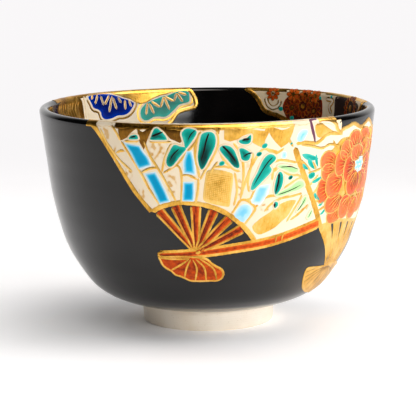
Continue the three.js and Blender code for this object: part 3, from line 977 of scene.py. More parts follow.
def layBamboo():
    # The picture on the front fan, from the lowest layer to the highest
    # each cloud's gold is painted darker at the left and lighter at the right, as shade and highlight
    for edge, shade in bamboo["clouds"]:
        low = resample(at(edge), step=0.45)
        ribbon("gilding", np.column_stack([low[:, 0], np.full(len(low), 87.6)]), low, 0.03, 0.1, 0.3,
               shade, across=4)
    for corners, shade in bamboo["squares"]:
        goldPatch(corners, shade, softness=1)
    for k, (start, stop) in enumerate(bamboo["weave"]):
        for share in np.linspace(0.06, 0.94, bamboo["weaveLines"][k]):
            line = np.array(start) * (1 - share) + np.array(stop) * share
            stroke("gilding", at(line), 0.3, 0.13, 0.05, shade=0.5, wobble=0.3)
    for left, right, shade in bamboo["panes"]:
        pane("blue", smoothThrough(at(right)), smoothThrough(at(left)), *heights["wash"], shade=shade)
    for corners, shade in bamboo["roundPanes"]:
        outline = resample(smoothThrough(at(corners), 6, closed=True), count=44, closed=True)
        pillow("blue", grow(outline, 0.3), *heights["wash"], edge=1.9, shade=shade)
    for centre, reach, strength in bamboo["dust"]:
        stain(centre, reach, strength)
    for line in bamboo["sideLines"] + bamboo["nodes"] + bamboo["lines"]:
        goldLine(line)
    for x, up, size, shade in bamboo["buds"]:
        pillow("green", roundOutline(at((x, up)), size, 1.3, 30, 12), *heights["leaf"], edge=0.4,
               shade=shade)
    for outline, rib, light, dark, ribWidth in bamboo["paleLeaves"]:
        paintedLeaf(outline, rib, light, dark, ribWidth, "paleGreen")
    for outline, rib, light, dark, ribWidth in bamboo["leaves"]:
        paintedLeaf(outline, rib, light, dark, ribWidth)
    # the gold plate by the rim, its pale edge and its gold rim, and the plum-coloured stroke beside it
    plate = at(bamboo["plateEdge"])
    stroke("white", plate - (0.0, 1.1), 0.9, *heights["line"], ends=(0.8, 0.8), shade=0.9)
    stroke("gilding", plate, 1.5, *heights["overLine"], ends=(0.9, 0.9), shade=0.8)
    goldPatch(bamboo["goldPlate"], 0.8, softness=1)
    stroke("plum", at(bamboo["plum"]), 1.15, 0.12, 0.16, ends=(1.0, 0.6), shade=0.5)


layFanGround()
layFanFrame()
layBamboo()
print("tea bowl: front fan laid")


# The second fan, on the right: a cream leaf with a large flower, gold sticks and a gold tail

flowerFan = {
    "pivot": (60.0, 32.0),
    "leftEdge": [(29.6, 79.2), (33.6, 69.9), (40.6, 56.9), (45.3, 49.0), (52.0, 41.0), (57.4, 33.0)],
    "rightEdge": [(97.0, 77.6), (92.0, 66.5), (85.0, 56.5), (77.5, 48.0), (70.0, 40.0), (63.5, 33.0)],
    "edgeWidth": 2.3,
    "border": [(30.0, 80.4), (34.0, 80.5), (38.7, 80.0), (43.4, 82.7), (49.7, 82.3), (50.4, 83.4),
               (54.0, 84.3), (57.5, 84.9), (61.0, 83.6), (64.0, 83.1), (68.0, 84.4), (70.5, 84.9),
               (75.0, 83.0), (79.0, 81.2), (84.0, 80.2), (88.0, 80.5), (92.0, 79.0), (97.0, 77.6)],
    "borderWidth": 1.5,
    "arc": [(45.3, 49.4), (50.0, 50.0), (56.0, 49.8), (62.0, 49.2), (68.0, 48.2), (73.0, 47.6),
            (77.8, 47.8)],
    "sticks": 5,
    "slit": 0.75,                # half the width of the gaps between the sticks, next to the leaf
    "waist": [(57.0, 30.8), (63.0, 30.2), (69.0, 30.4)],
    "tail": [(43.6, 32.8), (50.0, 32.0), (57.0, 31.4), (64.0, 31.6), (72.0, 30.4), (80.0, 28.0),
             (88.0, 24.5), (93.0, 20.0), (91.0, 15.0), (86.0, 15.6), (80.0, 13.2), (74.5, 15.4),
             (69.0, 15.2), (64.0, 18.0), (58.0, 18.6), (53.4, 20.2), (48.9, 22.8), (45.8, 26.6),
             (45.2, 28.8), (44.1, 30.9)],
    "tailFolds": [(44.8, 30.8), (45.6, 28.2), (46.8, 25.6), (49.8, 23.4), (54.0, 20.8), (60.0, 18.8),
                  (68.0, 16.0), (74.0, 15.6), (80.0, 14.0), (86.0, 16.0), (90.5, 17.4)],
    "tailMiddle": (66.0, 25.0),
    "foldStart": (61.0, 31.0),
    "foldBend": (60.0, 33.0),    # each fold bends halfway to here
    "flower": (65.0, 69.4),
    "heart": (3.0, 0.46),        # the blue middle of the flower: its radius and how high it lies
    # one dot in the middle and the rest round it: count, reach, size
    "heartDots": (7, 1.9, 0.55),
    # the gold behind the flower: its radius up and down, and how much wider it is
    "goldRound": (17.0, 1.25),
    "goldUp": (50.6, 80.6),      # and where it is cut off below and above
    "petalOverlap": 1.3,
    "petalLevels": (0.12, 0.012),                # the lowest petal's height, and the step to the next
    # petals: middle, half width in degrees, half height in mm, depth of colour
    "petals": [(44.8, 73.0, 3.1, 2.8, 0.0), (45.3, 69.0, 2.8, 2.4, 0.1), (51.8, 71.5, 2.9, 3.5, 0.3),
               (54.0, 76.0, 2.9, 2.8, 0.0), (59.3, 79.1, 3.5, 2.6, 0.3), (61.9, 74.2, 3.7, 2.3, 0.3),
               (67.3, 79.7, 3.9, 2.3, 0.3), (57.4, 68.8, 3.1, 3.6, 0.8), (61.5, 63.4, 4.2, 3.6, 0.7),
               (69.5, 62.8, 4.2, 3.4, 0.6), (49.1, 64.2, 3.7, 3.7, 0.1), (43.8, 62.5, 2.7, 3.5, 0.4),
               (50.3, 57.2, 4.1, 2.8, 0.3), (58.2, 54.9, 3.6, 3.4, 0.1), (65.2, 53.6, 3.6, 3.2, 0.2),
               (51.8, 52.6, 3.6, 2.4, 0.1), (69.5, 75.3, 4.0, 2.5, 0.4), (73.0, 69.2, 3.6, 3.1, 0.6),
               (77.5, 63.0, 4.2, 3.3, 0.4), (75.0, 78.8, 3.8, 2.3, 0.2), (78.2, 74.0, 4.0, 2.6, 0.3),
               (81.5, 68.6, 3.8, 3.0, 0.2), (72.6, 55.2, 3.9, 3.3, 0.1), (79.0, 57.2, 3.6, 3.0, 0.1),
               (84.4, 62.6, 3.4, 2.8, 0.1), (85.4, 74.2, 3.4, 2.6, 0.1)],
    "lines": [[(31.6, 80.1), (36.6, 79.0), (41.0, 77.9), (44.8, 78.9), (50.2, 77.7)],
              [(46.1, 80.2), (48.2, 76.8)], [(31.8, 74.8), (34.6, 72.4), (36.8, 70.0)],
              [(37.2, 73.6), (39.4, 70.4)], [(35.8, 69.6), (38.8, 69.9), (41.6, 70.8)],
              [(36.8, 64.8), (40.6, 68.6)], [(38.6, 61.4), (41.2, 64.6)], [(40.2, 58.6), (42.8, 60.0)],
              [(42.4, 55.4), (46.6, 57.0)]],
    # turquoise leaves at its left: stem, tip, width
    "leaves": [((32.6, 76.4), (40.0, 74.2), 2.2), ((35.2, 75.3), (38.6, 70.6), 1.8),
               ((33.2, 73.2), (35.9, 70.8), 1.4), ((38.6, 76.0), (40.1, 71.2), 1.3),
               ((37.6, 66.0), (42.4, 67.8), 1.5), ((39.2, 62.2), (42.4, 59.2), 1.4),
               ((42.0, 57.2), (44.4, 58.6), 1.2), ((43.5, 53.6), (46.3, 56.2), 1.2)],
    "blots": [(37.5, 68.6, 1.3), (35.9, 75.3, 0.7)],
}


def petal(centre, outward, size, level, shade):
    # One petal: a circle stretched to its size with three slight lobes, deeper at its foot by its distance
    # along the petal, with a gold edge, dark streaks and fine gold veins that spread from its foot
    across = np.array([-outward[1], outward[0]])
    a = np.linspace(0, 2 * np.pi, 28, endpoint=False)
    round_ = np.stack([np.cos(a), np.sin(a)], axis=1) * (1 + 0.05 * np.cos(3 * a))[:, None]
    outline = centre + round_ * size
    reach = np.linalg.norm(size * outward)
    toFoot = -((outline - centre) @ outward) / reach
    pillow("coral", outline, level, 0.12, edge=0.8, shade=shade - 0.15 + 0.85 * np.clip(toFoot, -0.3, 1))
    stroke("gilding", outline[::2], 0.45, level + 0.05, 0.1, closed=True, shade=0.9)
    foot = centre - outward * reach * 0.85
    wide = np.linalg.norm(size * across)
    for spread in (-0.7, -0.25, 0.25, 0.7):
        tip = centre - outward * reach * 0.1 * abs(spread) + across * spread * wide * 0.7
        stroke("red", [foot, (foot + tip) / 2, tip], 0.62, level + 0.08, 0.05, ends=(1.0, 0.2), shade=0.35)
    for spread in (-0.9, -0.45, 0.0, 0.45, 0.9):
        tip = centre + outward * reach * (0.62 - 0.5 * spread ** 2) + across * spread * wide * 0.72
        middle = (foot + tip) / 2 + across * spread * 0.9
        stroke("gilding", [foot, middle, tip], 0.24, level + 0.1, 0.1, ends=(1.0, 0.5), shade=0.7)


def layFlower():
    # Petals laid from the outermost inwards, each a little higher than the one before
    fan = flowerFan
    heart = at(fan["flower"])
    middle = roundOutline(heart, *fan["goldRound"], 0, 44, 9, 0.04)
    middle[:, 1] = np.clip(middle[:, 1], *fan["goldUp"])
    lowest, step = fan["petalLevels"]
    pillow("gilding", middle, 0.1, 0.08, edge=0.6, shade=0.8)
    outermostFirst = sorted(fan["petals"], key=lambda p: -math.hypot(*(at(p[:2]) - heart)))
    for k, (x, up, wide, high, shade) in enumerate(outermostFirst):
        centre = at((x, up))
        outward = (centre - heart) / np.linalg.norm(centre - heart)
        petal(centre, outward, np.array([wide * mmPerDegree, high]) * fan["petalOverlap"],
              lowest + step * k, shade)
    radius, lift = fan["heart"]
    pillow("blue", roundOutline(heart, radius, 1.3, 0, 26, 7, 0.1), lift, 0.1, edge=1.2, shade=-0.3)
    dots, reach, size = fan["heartDots"]
    for k in range(dots):
        a = k * 2 * np.pi / (dots - 1)
        out = reach if k < dots - 1 else 0
        spot = heart + out * np.array([1.3 * math.cos(a), math.sin(a)])
        pillow("white", roundOutline(spot, size, 1.0, 0, 10), lift + 0.06, 0.1, edge=0.3, shade=0.9)


def layFlowerFan():
    # The leaf ruled from the arc to the border, the sticks ruled from the waist to the arc, and the tail
    fan = flowerFan
    pivot = at(fan["pivot"])
    left, right = (smoothThrough(at(fan[k])) for k in ("leftEdge", "rightEdge"))
    arc = smoothThrough(at(fan["arc"]))
    border = smoothThrough(at(fan["border"]))
    n = 70
    outer = resample(border, count=n)
    inner = resample(arc, count=n)
    ribbon("white", outer, inner, 0.02, 0.11, shade=0.9, across=18)
    # gold sticks between the waist and the leaf, with slits of bare glaze that open towards the leaf
    count = fan["sticks"]
    waistLine, arcLine = resample(smoothThrough(at(fan["waist"])), count=201), resample(arc, count=201)
    t = np.linspace(0, 1, 16)[:, None]
    slit = fan["slit"] * np.clip((t - 0.62) / 0.3, 0, 1)
    for k in range(count):
        i, j = int(200 * k / count), int(200 * (k + 1) / count)
        sides = [waistLine[i] * (1 - t) + arcLine[i] * t, waistLine[j] * (1 - t) + arcLine[j] * t]
        inward = (sides[1] - sides[0]) / np.linalg.norm(sides[1] - sides[0], axis=1)[:, None]
        ribbon("gilding", sides[0] + inward * slit, sides[1] - inward * slit, 0.02, 0.12, shade=0.75)
        for share in (0.3, 0.6, 0.85):
            streak = sides[0] * (1 - share) + sides[1] * share
            stroke("gilding", streak[1:-1:4], 0.3, 0.1, 0.06, ends=(0.5, 0.5), shade=0.15)
    stroke("gilding", arc[::6], 1.3, 0.06, 0.12, shade=0.8)
    for edge in (left, right):
        stroke("gilding", edge[::6], fan["edgeWidth"], 0.08, 0.12, ends=(0.9, 0.9), shade=0.5)
    stroke("gilding", border[::4], fan["borderWidth"], 0.1, 0.09, ends=(0.9, 0.9), shade=0.6)
    for line in fan["lines"]:
        goldLine(line, 1.0, level="overLine")
    for base, tip, width in fan["leaves"]:
        leaf(base, tip, width, 0.3, -0.15, plain=True)
    for x, up, size in fan["blots"]:
        pillow("green", roundOutline(at((x, up)), size, 1.2, 20, 12), *heights["leaf"], edge=0.5,
               shade=0.1)
    # the tail, gathered below the pivot
    tail = softPolygon(at(fan["tail"]), 80, 2)
    pillow("gilding", tail, 0.02, 0.16, edge=0.5, shade=0.55, centre=at(fan["tailMiddle"]))
    stroke("gilding", tail[::2], 1.0, 0.08, 0.18, closed=True, shade=0.7)
    for fold in fan["tailFolds"]:
        middle = (np.array(fold) + fan["foldBend"]) / 2
        stroke("gilding", at([fan["foldStart"], tuple(middle), fold]), 0.5, 0.14, 0.08, ends=(0.5, 0.7),
               shade=-0.1)


layFlowerFan()
layFlower()
print("tea bowl: flower fan laid")


# Inside the rim. Here the second number of each pair is the depth below the lip, in millimetres.

insideStart = 91.15      # where the inner wall begins, on the scale of up


def inDepth(points):
    # (degrees, depth) pairs to (degrees, up) pairs
    return np.asarray(points, float) + (0.0, insideStart)


pineInside = {
    "leafOutline": [(187.2, -0.6), (184.9, 3.0), (184.7, 6.3), (187.4, 7.3), (190.0, 7.9), (192.3, 9.0),
                    (194.7, 12.2), (198.5, 15.4), (204.0, 18.6), (212.0, 20.8), (221.0, 20.6),
                    (229.0, 18.2), (235.0, 14.2), (239.0, 9.0), (240.0, 4.0), (239.0, -0.6)],
    "pines": [
        ("navy", 0.75,
         [(232.2, 0.0), (231.9, 1.2), (231.0, 2.9), (230.2, 4.5), (228.1, 5.2), (226.6, 6.3), (226.2, 8.3),
          (225.0, 9.4), (223.0, 9.7), (220.4, 9.4), (217.8, 8.6), (215.0, 8.6), (212.6, 7.8), (211.0, 6.3),
          (210.0, 4.8), (209.7, 4.0), (211.4, 3.0), (215.2, 1.6), (219.0, 0.2), (222.9, -0.4),
          (228.7, -0.4)]),
        ("green", 0.35,
         [(204.6, 4.2), (205.9, 5.2), (207.1, 6.4), (207.8, 8.1), (207.5, 10.1), (206.2, 11.2),
          (204.4, 11.2), (202.2, 10.2), (200.0, 10.1), (197.6, 10.4), (195.8, 9.8), (193.3, 7.8),
          (190.8, 5.5), (187.2, 4.6), (186.7, 3.0), (187.1, 0.6), (189.1, 0.0), (192.2, 0.4), (195.5, 1.6),
          (197.5, 1.8), (199.6, 2.4), (202.2, 3.4)]),
    ],
    "needles": [[(226.9, -0.4), (229.0, 3.2)], [(225.6, 0.0), (224.5, 4.0)], [(221.2, 0.3), (223.9, 3.8)],
                [(219.8, 0.5), (222.1, 6.9)], [(219.4, 1.2), (218.3, 6.0)], [(214.0, 2.4), (214.2, 6.5)],
                [(212.4, 2.6), (211.3, 5.5)], [(229.3, -0.4), (230.9, 1.2)], [(217.2, 1.2), (215.7, 3.8)],
                [(204.1, 4.2), (205.2, 9.0)], [(203.5, 4.4), (201.7, 8.8)],
                [(202.6, 3.8), (200.6, 5.2), (198.8, 6.4)], [(198.8, 6.4), (198.0, 4.3), (197.2, 2.1)],
                [(197.2, 2.1), (196.2, 4.8), (195.1, 7.5)], [(196.8, 2.1), (195.0, 3.2), (193.2, 4.2)],
                [(193.2, 4.2), (192.6, 2.6), (192.0, 0.9)], [(192.0, 0.9), (190.8, 2.7), (189.6, 4.5)],
                [(191.4, 0.7), (188.1, 1.7)]],
    "cloud": [(219.5, -0.4), (216.8, 0.6), (213.8, 1.8), (211.6, 2.4), (209.4, 3.8), (207.4, 4.6),
              (204.8, 4.3), (203.0, 3.4), (200.8, 2.4), (198.8, 1.7), (195.8, 1.2), (193.0, 0.2),
              (190.0, -0.4)],
    "middle": (213.0, 8.0),
    "margins": (1.5, 0.75),      # how far the gold and the cream reach past a pine
    # gold lines on the dark gold: how many, the first one's angle and the step
    "blades": (9, 238.5, 1.9),
    "paleEdge": [(234.8, -0.4), (234.0, 3.0), (234.4, 7.6), (235.2, 12.0)],
    # along the lip: from, to, lowest, highest, depth of colour; the gold is painted bright at the left as a
    # highlight and dark at the right as shade
    "lip": [(186.6, 219.0, 88.9, 92.0, 0.9), (218.6, 233.6, 89.0, 90.9, 0.4),
            (233.4, 256.0, 89.2, 91.4, 0.1)],
    # a gold patch painted dark: painted shade where this gold faces the dim room
    "darkGold": [(236.0, 0.2), (244.0, -0.2), (254.0, 0.4), (257.0, 3.6), (253.0, 6.6), (247.0, 9.0),
                 (241.0, 12.0), (236.6, 13.6), (235.8, 8.0)],
}


def layPineInside():
    # Cream leaf, then each pine on a gold and a cream margin, then its needles, the gold cloud and the lip
    fan = pineInside
    outline = smoothThrough(at(inDepth(fan["leafOutline"])), 6)
    pillow("white", resample(outline, count=90, closed=True), 0.0, 0.09, edge=0.4, shade=0.8,
           centre=at(inDepth(fan["middle"])))
    goldMargin, creamMargin = fan["margins"]
    for key, shade, edge in fan["pines"]:
        body = resample(smoothThrough(at(inDepth(edge)), 6, closed=True), count=60, closed=True)
        pillow("gilding", grow(body, goldMargin), 0.04, 0.08, edge=0.3, shade=0.6)
        pillow("white", grow(body, creamMargin), 0.08, 0.07, edge=0.3, shade=0.9)
        pillow(key, body, 0.1, 0.1, edge=1.1, shade=shade)
    for line in fan["needles"]:
        path = at(inDepth(line))
        stroke("white", path, 1.5, 0.12, 0.12, ends=(0.7, 1.0), shade=0.9)
        stroke("gilding", path, 0.62, 0.19, 0.12, ends=(0.9, 0.8), shade=0.4)
    low = resample(at(inDepth(fan["cloud"])), step=0.6)[::-1]
    ribbon("gilding", low, np.column_stack([low[:, 0], np.full(len(low), insideStart - 0.6)]), 0.12, 0.12,
           0.3, 0.6, across=6)
    stroke("gilding", at(inDepth(fan["leafOutline"])), 1.7, 0.06, 0.2, ends=(1.0, 1.0), shade=0.7)
    # the dark gold patch: painted shade
    goldPatch(inDepth(fan["darkGold"]), 0.15, softness=2, edge=0.5)
    count, first, step = fan["blades"]
    for k in range(count):
        x = first + step * k
        blade = [(x, 1.4), (x + 0.8, 4.0 + 0.5 * math.sin(k * 2.1)), (x - 0.4, 8.6 - 0.42 * k)]
        goldLine(inDepth(blade), 0.5, (0.5, 0.4), "overLine", 0.9)
    stroke("white", at(inDepth(fan["paleEdge"])), 1.4, 0.1, 0.14, shade=0.9)
    # the lip's gold: a painted highlight at the left, painted shade at the right
    for start, stop, lowest, highest, shade in fan["lip"]:
        lipBand(start, stop, lowest, highest, shade, waves=0.12)


flowersInside = {
    "leafOutline": [(164.6, -0.8), (161.9, 1.2), (159.4, 3.6), (156.4, 7.8), (149.6, 9.8), (142.0, 13.0),
                    (133.0, 14.6), (124.0, 13.8), (115.0, 11.0), (107.0, 7.4), (101.0, 3.4), (98.0, -0.8)],
    "middle": (130.0, 5.0),
    "goldUnder": [(118.0, 9.6), (124.0, 10.8), (131.0, 12.6), (124.0, 12.9), (116.0, 10.8), (109.0, 7.6)],
    # middle, size, how many petals, depth of colour: deep, partly as painted shade, and lighter for the row
    # by the lip
    "flowers": [(153.4, 0.9, 3.0, 8, 0.35), (144.6, 6.0, 3.8, 8, 1.0), (133.6, 6.6, 4.2, 9, 1.2),
                (139.4, 5.2, 5.2, 11, 0.95), (144.4, 0.9, 3.0, 7, -0.1), (138.4, 0.7, 3.2, 8, 0.0),
                (133.6, 0.8, 2.8, 7, -0.1), (110.0, 3.4, 6.6, 15, 1.3)],
    # patches of painted shadow on the cream
    "shadow": [(147.6, 2.0), (149.4, 6.0), (146.6, 10.6), (140.0, 13.4), (131.0, 13.8), (128.6, 8.0),
               (129.6, 1.6), (138.0, -0.4)],
    "shadowRight": [(122.6, -0.2), (121.8, 6.0), (121.6, 11.6), (112.0, 9.4), (105.0, 6.0), (101.0, 1.4),
                    (110.0, -0.4)],
    "scrolls": [[(156.4, 2.4), (155.4, 5.2), (153.1, 6.6), (150.6, 5.3), (150.3, 3.0)],
                [(127.8, 1.5), (123.5, 1.8), (125.2, 4.3), (123.4, 6.8)], [(126.8, 7.6), (125.4, 10.2)]],
    "dots": [(149.6, 6.8, 0.9), (144.2, 10.0, 0.9), (131.0, 1.4, 0.7), (124.6, 0.4, 0.6)],
    "lip": [(147.6, 165.0, 89.0, 91.4, 0.4), (128.0, 148.0, 89.4, 90.4, 0.2),
            (96.5, 128.4, 89.2, 91.0, 0.7)],
}


def layFlowersInside():
    # Cream leaf painted dim, with dark red and near-black patches as painted shadow, then flowers as rings
    # of petals round a gold heart, painted deep red, partly their own colour and partly painted shade
    fan = flowersInside
    outline = smoothThrough(at(inDepth(fan["leafOutline"])), 6)
    # the cream here is painted darker: painted shade
    pillow("white", resample(outline, count=90, closed=True), 0.0, 0.09, edge=0.4, shade=0.35,
           centre=at(inDepth(fan["middle"])))
    # dark red and near-black patches: painted shadow
    for name, key, shade in (("shadow", "red", 1.3), ("shadowRight", "ink", 0.0)):
        pillow(key, softPolygon(at(inDepth(fan[name])), 50, 2), 0.05, 0.08, edge=0.3, shade=shade)
    # the flowers' deep colour is partly painted shade
    for x, depth, size, petals, shade in fan["flowers"]:
        heart = at(inDepth((x, depth)))
        for k in range(petals):
            a = 2 * np.pi * k / petals
            centre = heart + 0.62 * size * np.array([math.cos(a), math.sin(a)])
            wide = 1.9 * size / petals
            pillow("red", roundOutline(centre, wide, 1.5, math.degrees(a), 14), 0.09, 0.1, edge=0.4,
                   shade=shade + 0.2 * (k % 2))
            stroke("gilding", roundOutline(centre, wide, 1.5, math.degrees(a), 12), 0.25, 0.1, 0.13,
                   closed=True, shade=-0.2)
        pillow("gilding", roundOutline(heart, 0.2 * size, 1.0, 0, 12), 0.18, 0.1, edge=0.3, shade=0.1)
    for line in fan["scrolls"]:
        path = at(inDepth(line))
        stroke("gilding", path, 2.0, 0.07, 0.12, shade=0.25)
        stroke("white", path, 1.3, 0.1, 0.14, ends=(0.6, 0.6), shade=0.7)
    for x, depth, size in fan["dots"]:
        pillow("green", roundOutline(at(inDepth((x, depth))), size, 1.1, 0, 16), 0.1, 0.12, edge=0.4,
               shade=0.2)
    goldPatch(inDepth(fan["goldUnder"]), 0.3)
    stroke("gilding", at(inDepth(fan["leafOutline"])), 1.9, 0.06, 0.2, ends=(1.0, 1.0), shade=0.3)
    for start, stop, lowest, highest, shade in fan["lip"]:
        lipBand(start, stop, lowest, highest, shade, waves=0.12)


layPineInside()
layFlowersInside()
print("tea bowl: inside laid")


# The back, not seen in the photo: one plain gold and cream fan in the same manner, with a few leaves

backFan = {
    "pivot": (192.0, 36.0),
    "low": [(172.0, 49.0), (179.0, 53.4), (186.0, 55.8), (192.0, 56.4), (198.0, 55.8), (205.0, 53.4),
            (212.0, 49.0)],
    "high": [(155.0, 71.0), (164.0, 77.4), (173.0, 81.2), (182.0, 83.2), (192.0, 83.8), (202.0, 83.2),
             (211.0, 81.2), (220.0, 77.4), (229.0, 71.0)],
    "ribs": 9,
    # the gold bands reach this far up from the low arc, and start here for the high one
    "bands": (0.12, 0.78),
    "leaves": [((184.0, 76.0), (176.0, 67.0), 4.2), ((192.0, 79.0), (191.0, 67.0), 4.8),
               ((199.0, 76.6), (206.0, 67.6), 4.2)],
}


def layBackFan():
    # A leaf ruled between two arcs, a gold band along each, ribs, sticks and three leaves
    fan = backFan
    pivot = at(fan["pivot"])
    low, high = smoothThrough(at(fan["low"])), smoothThrough(at(fan["high"]))
    n = 80
    lowLine, highLine = resample(low, count=n), resample(high, count=n)
    lowBand, highBand = fan["bands"]
    ribbon("white", highLine, lowLine, 0.0, 0.1, shade=0.75, across=14)
    ribbon("gilding", highLine, lowLine + (highLine - lowLine) * highBand, 0.06, 0.1, shade=0.4, across=4)
    ribbon("gilding", lowLine + (highLine - lowLine) * lowBand, lowLine, 0.06, 0.1, shade=0.4, across=2)
    for line in (low[::8], high[::8]):
        stroke("gilding", line, 1.2, 0.08, 0.2)
    for k in range(fan["ribs"]):
        share = k / (fan["ribs"] - 1)
        stop = resample(low, count=101)[int(round(4 + 92 * share))]
        along = (stop - pivot) / np.linalg.norm(stop - pivot)
        layStick(pivot, pivot + 1.6 * along, stop - 0.6 * along, 1.6, 0.02 + 0.01 * (k % 3), 0.4)
        top = resample(high, count=101)[int(round(100 * share))]
        width = 0.6 if 0 < k < fan["ribs"] - 1 else 1.8
        stroke("gilding", [stop, (stop + top) / 2, top], width, 0.07, 0.18)
    pillow("gilding", roundOutline(pivot, 1.8, 1.0, 0, 18), 0.06, 0.2, edge=0.5)
    for base, tip, width in fan["leaves"]:
        leaf(base, tip, width)


layBackFan()
print("tea bowl: back laid")


# Every layer becomes one piece that rides with the bowl

pieceNames = {
    "white": "whiteEnamel", "gilding": "goldLines", "blue": "blueEnamel", "navy": "navyEnamel",
    "green": "greenEnamel", "paleGreen": "paleGreenEnamel", "red": "redEnamel", "coral": "coralEnamel",
    "plum": "plumEnamel", "ink": "darkLines",
}


def finishLayers():
    # The rows of each finish, put on the wall as one mesh that carries its pool and shade
    for key, name in pieceNames.items():
        store = layers[key]
        if not store["count"]:
            continue
        rows = np.vstack(store["places"])
        places = onWall(rows[:, 0], rows[:, 1], rows[:, 2])
        piece = makeObject(name, places, store["faces"], materials[key],
                           {"pool": rows[:, 3], "shade": rows[:, 4]})
        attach(piece, "root")
        triangles = sum(len(f) - 2 for f in store["faces"])
        print("tea bowl:", name, len(places), "points,", triangles, "triangles")


finishLayers()


# The studio: a pale table, a softbox and a card on the right, soft fills, and a bright sweep behind

studio = {
    "cameraPlace": (0.1, -720.0, 161.1),
    "cameraPitch": 9.46,         # degrees below level
    "cameraRoll": 0.35,          # the photo leans a little to the left
    "lens": 171.3,
    # name, place, width and height, power in watts, colour, and what it lights: all, matte or gloss
    "lights": [
        ("softbox", (190.0, -120.0, 480.0), (640.0, 380.0), 3.5, "#fff6ec", "gloss"),
        ("card", (430.0, -614.0, 213.0), (576.0, 138.0), 1.5, "#ffffff", "all"),
        ("frontFill", (430.0, -614.0, 213.0), (576.0, 138.0), 1.9, "#ffffff", "matte"),
        ("sideFill", (500.0, -50.0, 250.0), (300.0, 300.0), 1.5, "#ffffff", "matte"),
        ("backFill", (-400.0, 300.0, 400.0), (300.0, 300.0), 0.95, "#ffffff", "matte"),
        ("top", (0.0, -80.0, 1000.0), (900.0, 900.0), 3.4, "#ffffff", "matte"),
    ],
    "paperRings": (100.0, 300.0, 700.0, 1500.0, 4000.0),
    "sweep": (140.0, 550.0),     # from here to here the paper turns into the bright sweep
    "shadowPlace": (-30.0, -4.0, 0.0),
    "shadowReach": 85.0,         # how far the painted soft shadow beside the foot goes
    "tableGlow": 0.93,           # how bright the sweep is far from the bowl
    "nearGlow": 0.44,            # and close to it, where the paper is mostly lit from above; this glow is painted light
    "tableEnd": -215.0,          # nearer the camera than this the glaze mirrors a dark room
    "paperEndSoft": (-30.0, 10.0),               # the soft end of the paper, before and behind that line
    # how far towards the back a direction points before the room is bright there
    "backFrom": (0.55, 0.85),
    "lowFrom": (0.45, 0.75),     # and how far up it points before the room dims
    "ceiling": 0.15,
    "roomBack": 0.95,            # the room behind the bowl, as the glaze mirrors it
    "roomFront": 0.01,
    "roomSeen": (0.915, 0.9, 0.91),
}


def makeCamera():
    # The photo's place and angle: turned about its own line of sight first, then tilted down
    camera = bpy.data.objects.new("camera", bpy.data.cameras.new("camera"))
    camera.data.sensor_width = 36.0
    camera.data.lens = studio["lens"]
    camera.data.clip_end = 20.0
    camera.location = np.array(studio["cameraPlace"]) * metre
    camera.rotation_mode = "ZXY"
    camera.rotation_euler = (math.radians(90 - studio["cameraPitch"]), 0,
                             math.radians(-studio["cameraRoll"]))
    bpy.context.scene.collection.objects.link(camera)
    bpy.context.scene.camera = camera


def makeLight(name, place, size, power, colour, lights):
    # A soft flat light aimed at the middle of the bowl
    light = bpy.data.objects.new(name, bpy.data.lights.new(name, "AREA"))
    light.data.shape = "RECTANGLE"
    light.data.size, light.data.size_y = (side * metre for side in size)
    light.data.energy = power
    light.data.color = hexToLinear(colour)[:3]
    light.visible_glossy = lights != "matte"
    light.visible_diffuse = lights != "gloss"
    light.location = np.array(place) * metre
    aim = np.array((0, 0, 40.0)) - np.array(place)
    light.rotation_euler = (math.acos(-aim[2] / np.linalg.norm(aim)), 0,
                            math.atan2(aim[1], aim[0]) - math.pi / 2)
    bpy.context.scene.collection.objects.link(light)


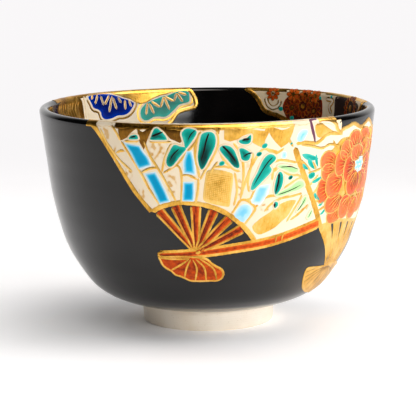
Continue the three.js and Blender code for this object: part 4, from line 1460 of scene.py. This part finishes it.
def makeTable():
    # A wide pale disc: matte paper near the bowl, turning into an even bright sweep farther off. Near the
    # bowl the paper also glows as painted light, and the glow fades out beside the foot as a painted shadow
    sides = 96
    a = np.linspace(0, 2 * np.pi, sides, endpoint=False)
    radii = np.array(studio["paperRings"])
    rings = radii[:, None, None] * np.stack([np.cos(a), np.sin(a), 0 * a], axis=1)
    places = np.vstack([np.zeros((1, 3)), rings.reshape(-1, 3)]) * metre
    k = np.arange(sides)
    faces = np.stack([0 * k, k + 1, (k + 1) % sides + 1], axis=1).tolist()
    faces += [face[::-1] for face in ringFaces(len(radii), sides, 1)]
    material, tree, shader, place = startMaterial("matte white paper sweep",
                                                  {"Roughness": 0.9, "Specular IOR Level": 0.1,
                                                   "Emission Color": hexToLinear("#fffdfe")})
    distance = addNode(tree, "VectorMath", {"operation": "LENGTH"}, links={0: place})
    far = addNode(tree, "MapRange", {"interpolation_type": "SMOOTHSTEP"},
                  {"From Min": studio["sweep"][0] * metre, "From Max": studio["sweep"][1] * metre},
                  {"Value": distance.outputs["Value"]})
    grain = addNode(tree, "TexNoise", inputs={"Scale": perMetre(40), "Detail": 3.0},
                    links={"Vector": place})
    paper = addNode(tree, "ValToRGB", links={"Fac": grain.outputs["Fac"]})
    setRamp(paper, [(0.3, "#f0eeec"), (0.7, "#f6f4f3")])
    near = addNode(tree, "Mix", {"data_type": "RGBA"}, {7: (0, 0, 0, 1)},
                   {0: far.outputs["Result"], 6: paper.outputs["Color"]})
    # the front edge of the paper, left of the middle, which only the glaze and the gold see
    split = addNode(tree, "SeparateXYZ", links={"Vector": place})
    slant = addNode(tree, "Math", {"operation": "MULTIPLY_ADD"}, {1: 2.0},
                    {0: split.outputs["X"], 2: split.outputs["Y"]})
    least = addNode(tree, "Math", {"operation": "MAXIMUM"},
                    links={0: slant.outputs[0], 1: split.outputs["Y"]})
    soft = [(studio["tableEnd"] + by) * metre for by in studio["paperEndSoft"]]
    paperHere = addNode(tree, "MapRange", {"interpolation_type": "SMOOTHSTEP"},
                        {"From Min": soft[0], "From Max": soft[1]}, {"Value": least.outputs[0]})
    path = addNode(tree, "LightPath")
    always = addNode(tree, "Mix", {"data_type": "FLOAT"}, {2: 1.0},
                     {0: path.outputs["Is Glossy Ray"], 3: paperHere.outputs["Result"]})
    # a painted soft shadow at the foot: the paper's glow fades out towards a point left of the foot, so the
    # shadow falls to the left and towards the camera
    fromShadow = addNode(tree, "VectorMath", {"operation": "DISTANCE"},
                         {1: np.array(studio["shadowPlace"]) * metre}, {0: place})
    besideFoot = addNode(tree, "MapRange", {"interpolation_type": "SMOOTHSTEP"},
                         {"From Max": studio["shadowReach"] * metre, "To Max": studio["nearGlow"]},
                         {"Value": fromShadow.outputs["Value"]})
    glow = addNode(tree, "Math", {"operation": "MULTIPLY_ADD"},
                   {1: studio["tableGlow"] - studio["nearGlow"]},
                   {0: far.outputs["Result"], 2: besideFoot.outputs["Result"]})
    glowHere = addNode(tree, "Math", {"operation": "MULTIPLY"},
                       links={0: glow.outputs[0], 1: always.outputs[0]})
    feed(tree, shader, {"Base Color": near.outputs[2], "Emission Strength": glowHere.outputs[0]})
    makeObject("table", places, faces, material)


def makeWorld():
    # A pale room, bright behind the bowl and dark in front of it above the table
    world = bpy.data.worlds.new("studio")
    world.use_nodes = True
    tree = world.node_tree
    tree.nodes.clear()
    coords = addNode(tree, "TexCoord")
    split = addNode(tree, "SeparateXYZ", links={"Vector": coords.outputs["Generated"]})
    back = addNode(tree, "MapRange",
                   inputs={"From Min": studio["backFrom"][0], "From Max": studio["backFrom"][1]},
                   links={"Value": split.outputs["Y"]})
    low = addNode(tree, "MapRange",
                  inputs={"From Min": studio["lowFrom"][0], "From Max": studio["lowFrom"][1],
                          "To Min": 1.0, "To Max": studio["ceiling"]}, links={"Value": split.outputs["Z"]})
    both = addNode(tree, "Math", {"operation": "MULTIPLY"},
                   links={0: back.outputs["Result"], 1: low.outputs["Result"]})
    lit = addNode(tree, "MapRange", inputs={"To Min": studio["roomFront"], "To Max": studio["roomBack"]},
                  links={"Value": both.outputs[0]})
    room = addNode(tree, "Background", inputs={"Color": (1, 0.99, 0.985, 1)},
                   links={"Strength": lit.outputs["Result"]})
    seen = addNode(tree, "Background", inputs={"Color": (*studio["roomSeen"], 1)})
    path = addNode(tree, "LightPath")
    choice = addNode(tree, "MixShader",
                     links={0: path.outputs["Is Camera Ray"], 1: room.outputs[0], 2: seen.outputs[0]})
    addNode(tree, "OutputWorld", links={"Surface": choice.outputs[0]})
    bpy.context.scene.world = world


makeCamera()
makeTable()
makeWorld()
for light in studio["lights"]:
    makeLight(*light)

scene = bpy.context.scene
scene.view_settings.view_transform = "Standard"
scene.cycles.use_denoising = True
print("tea bowl: studio set")
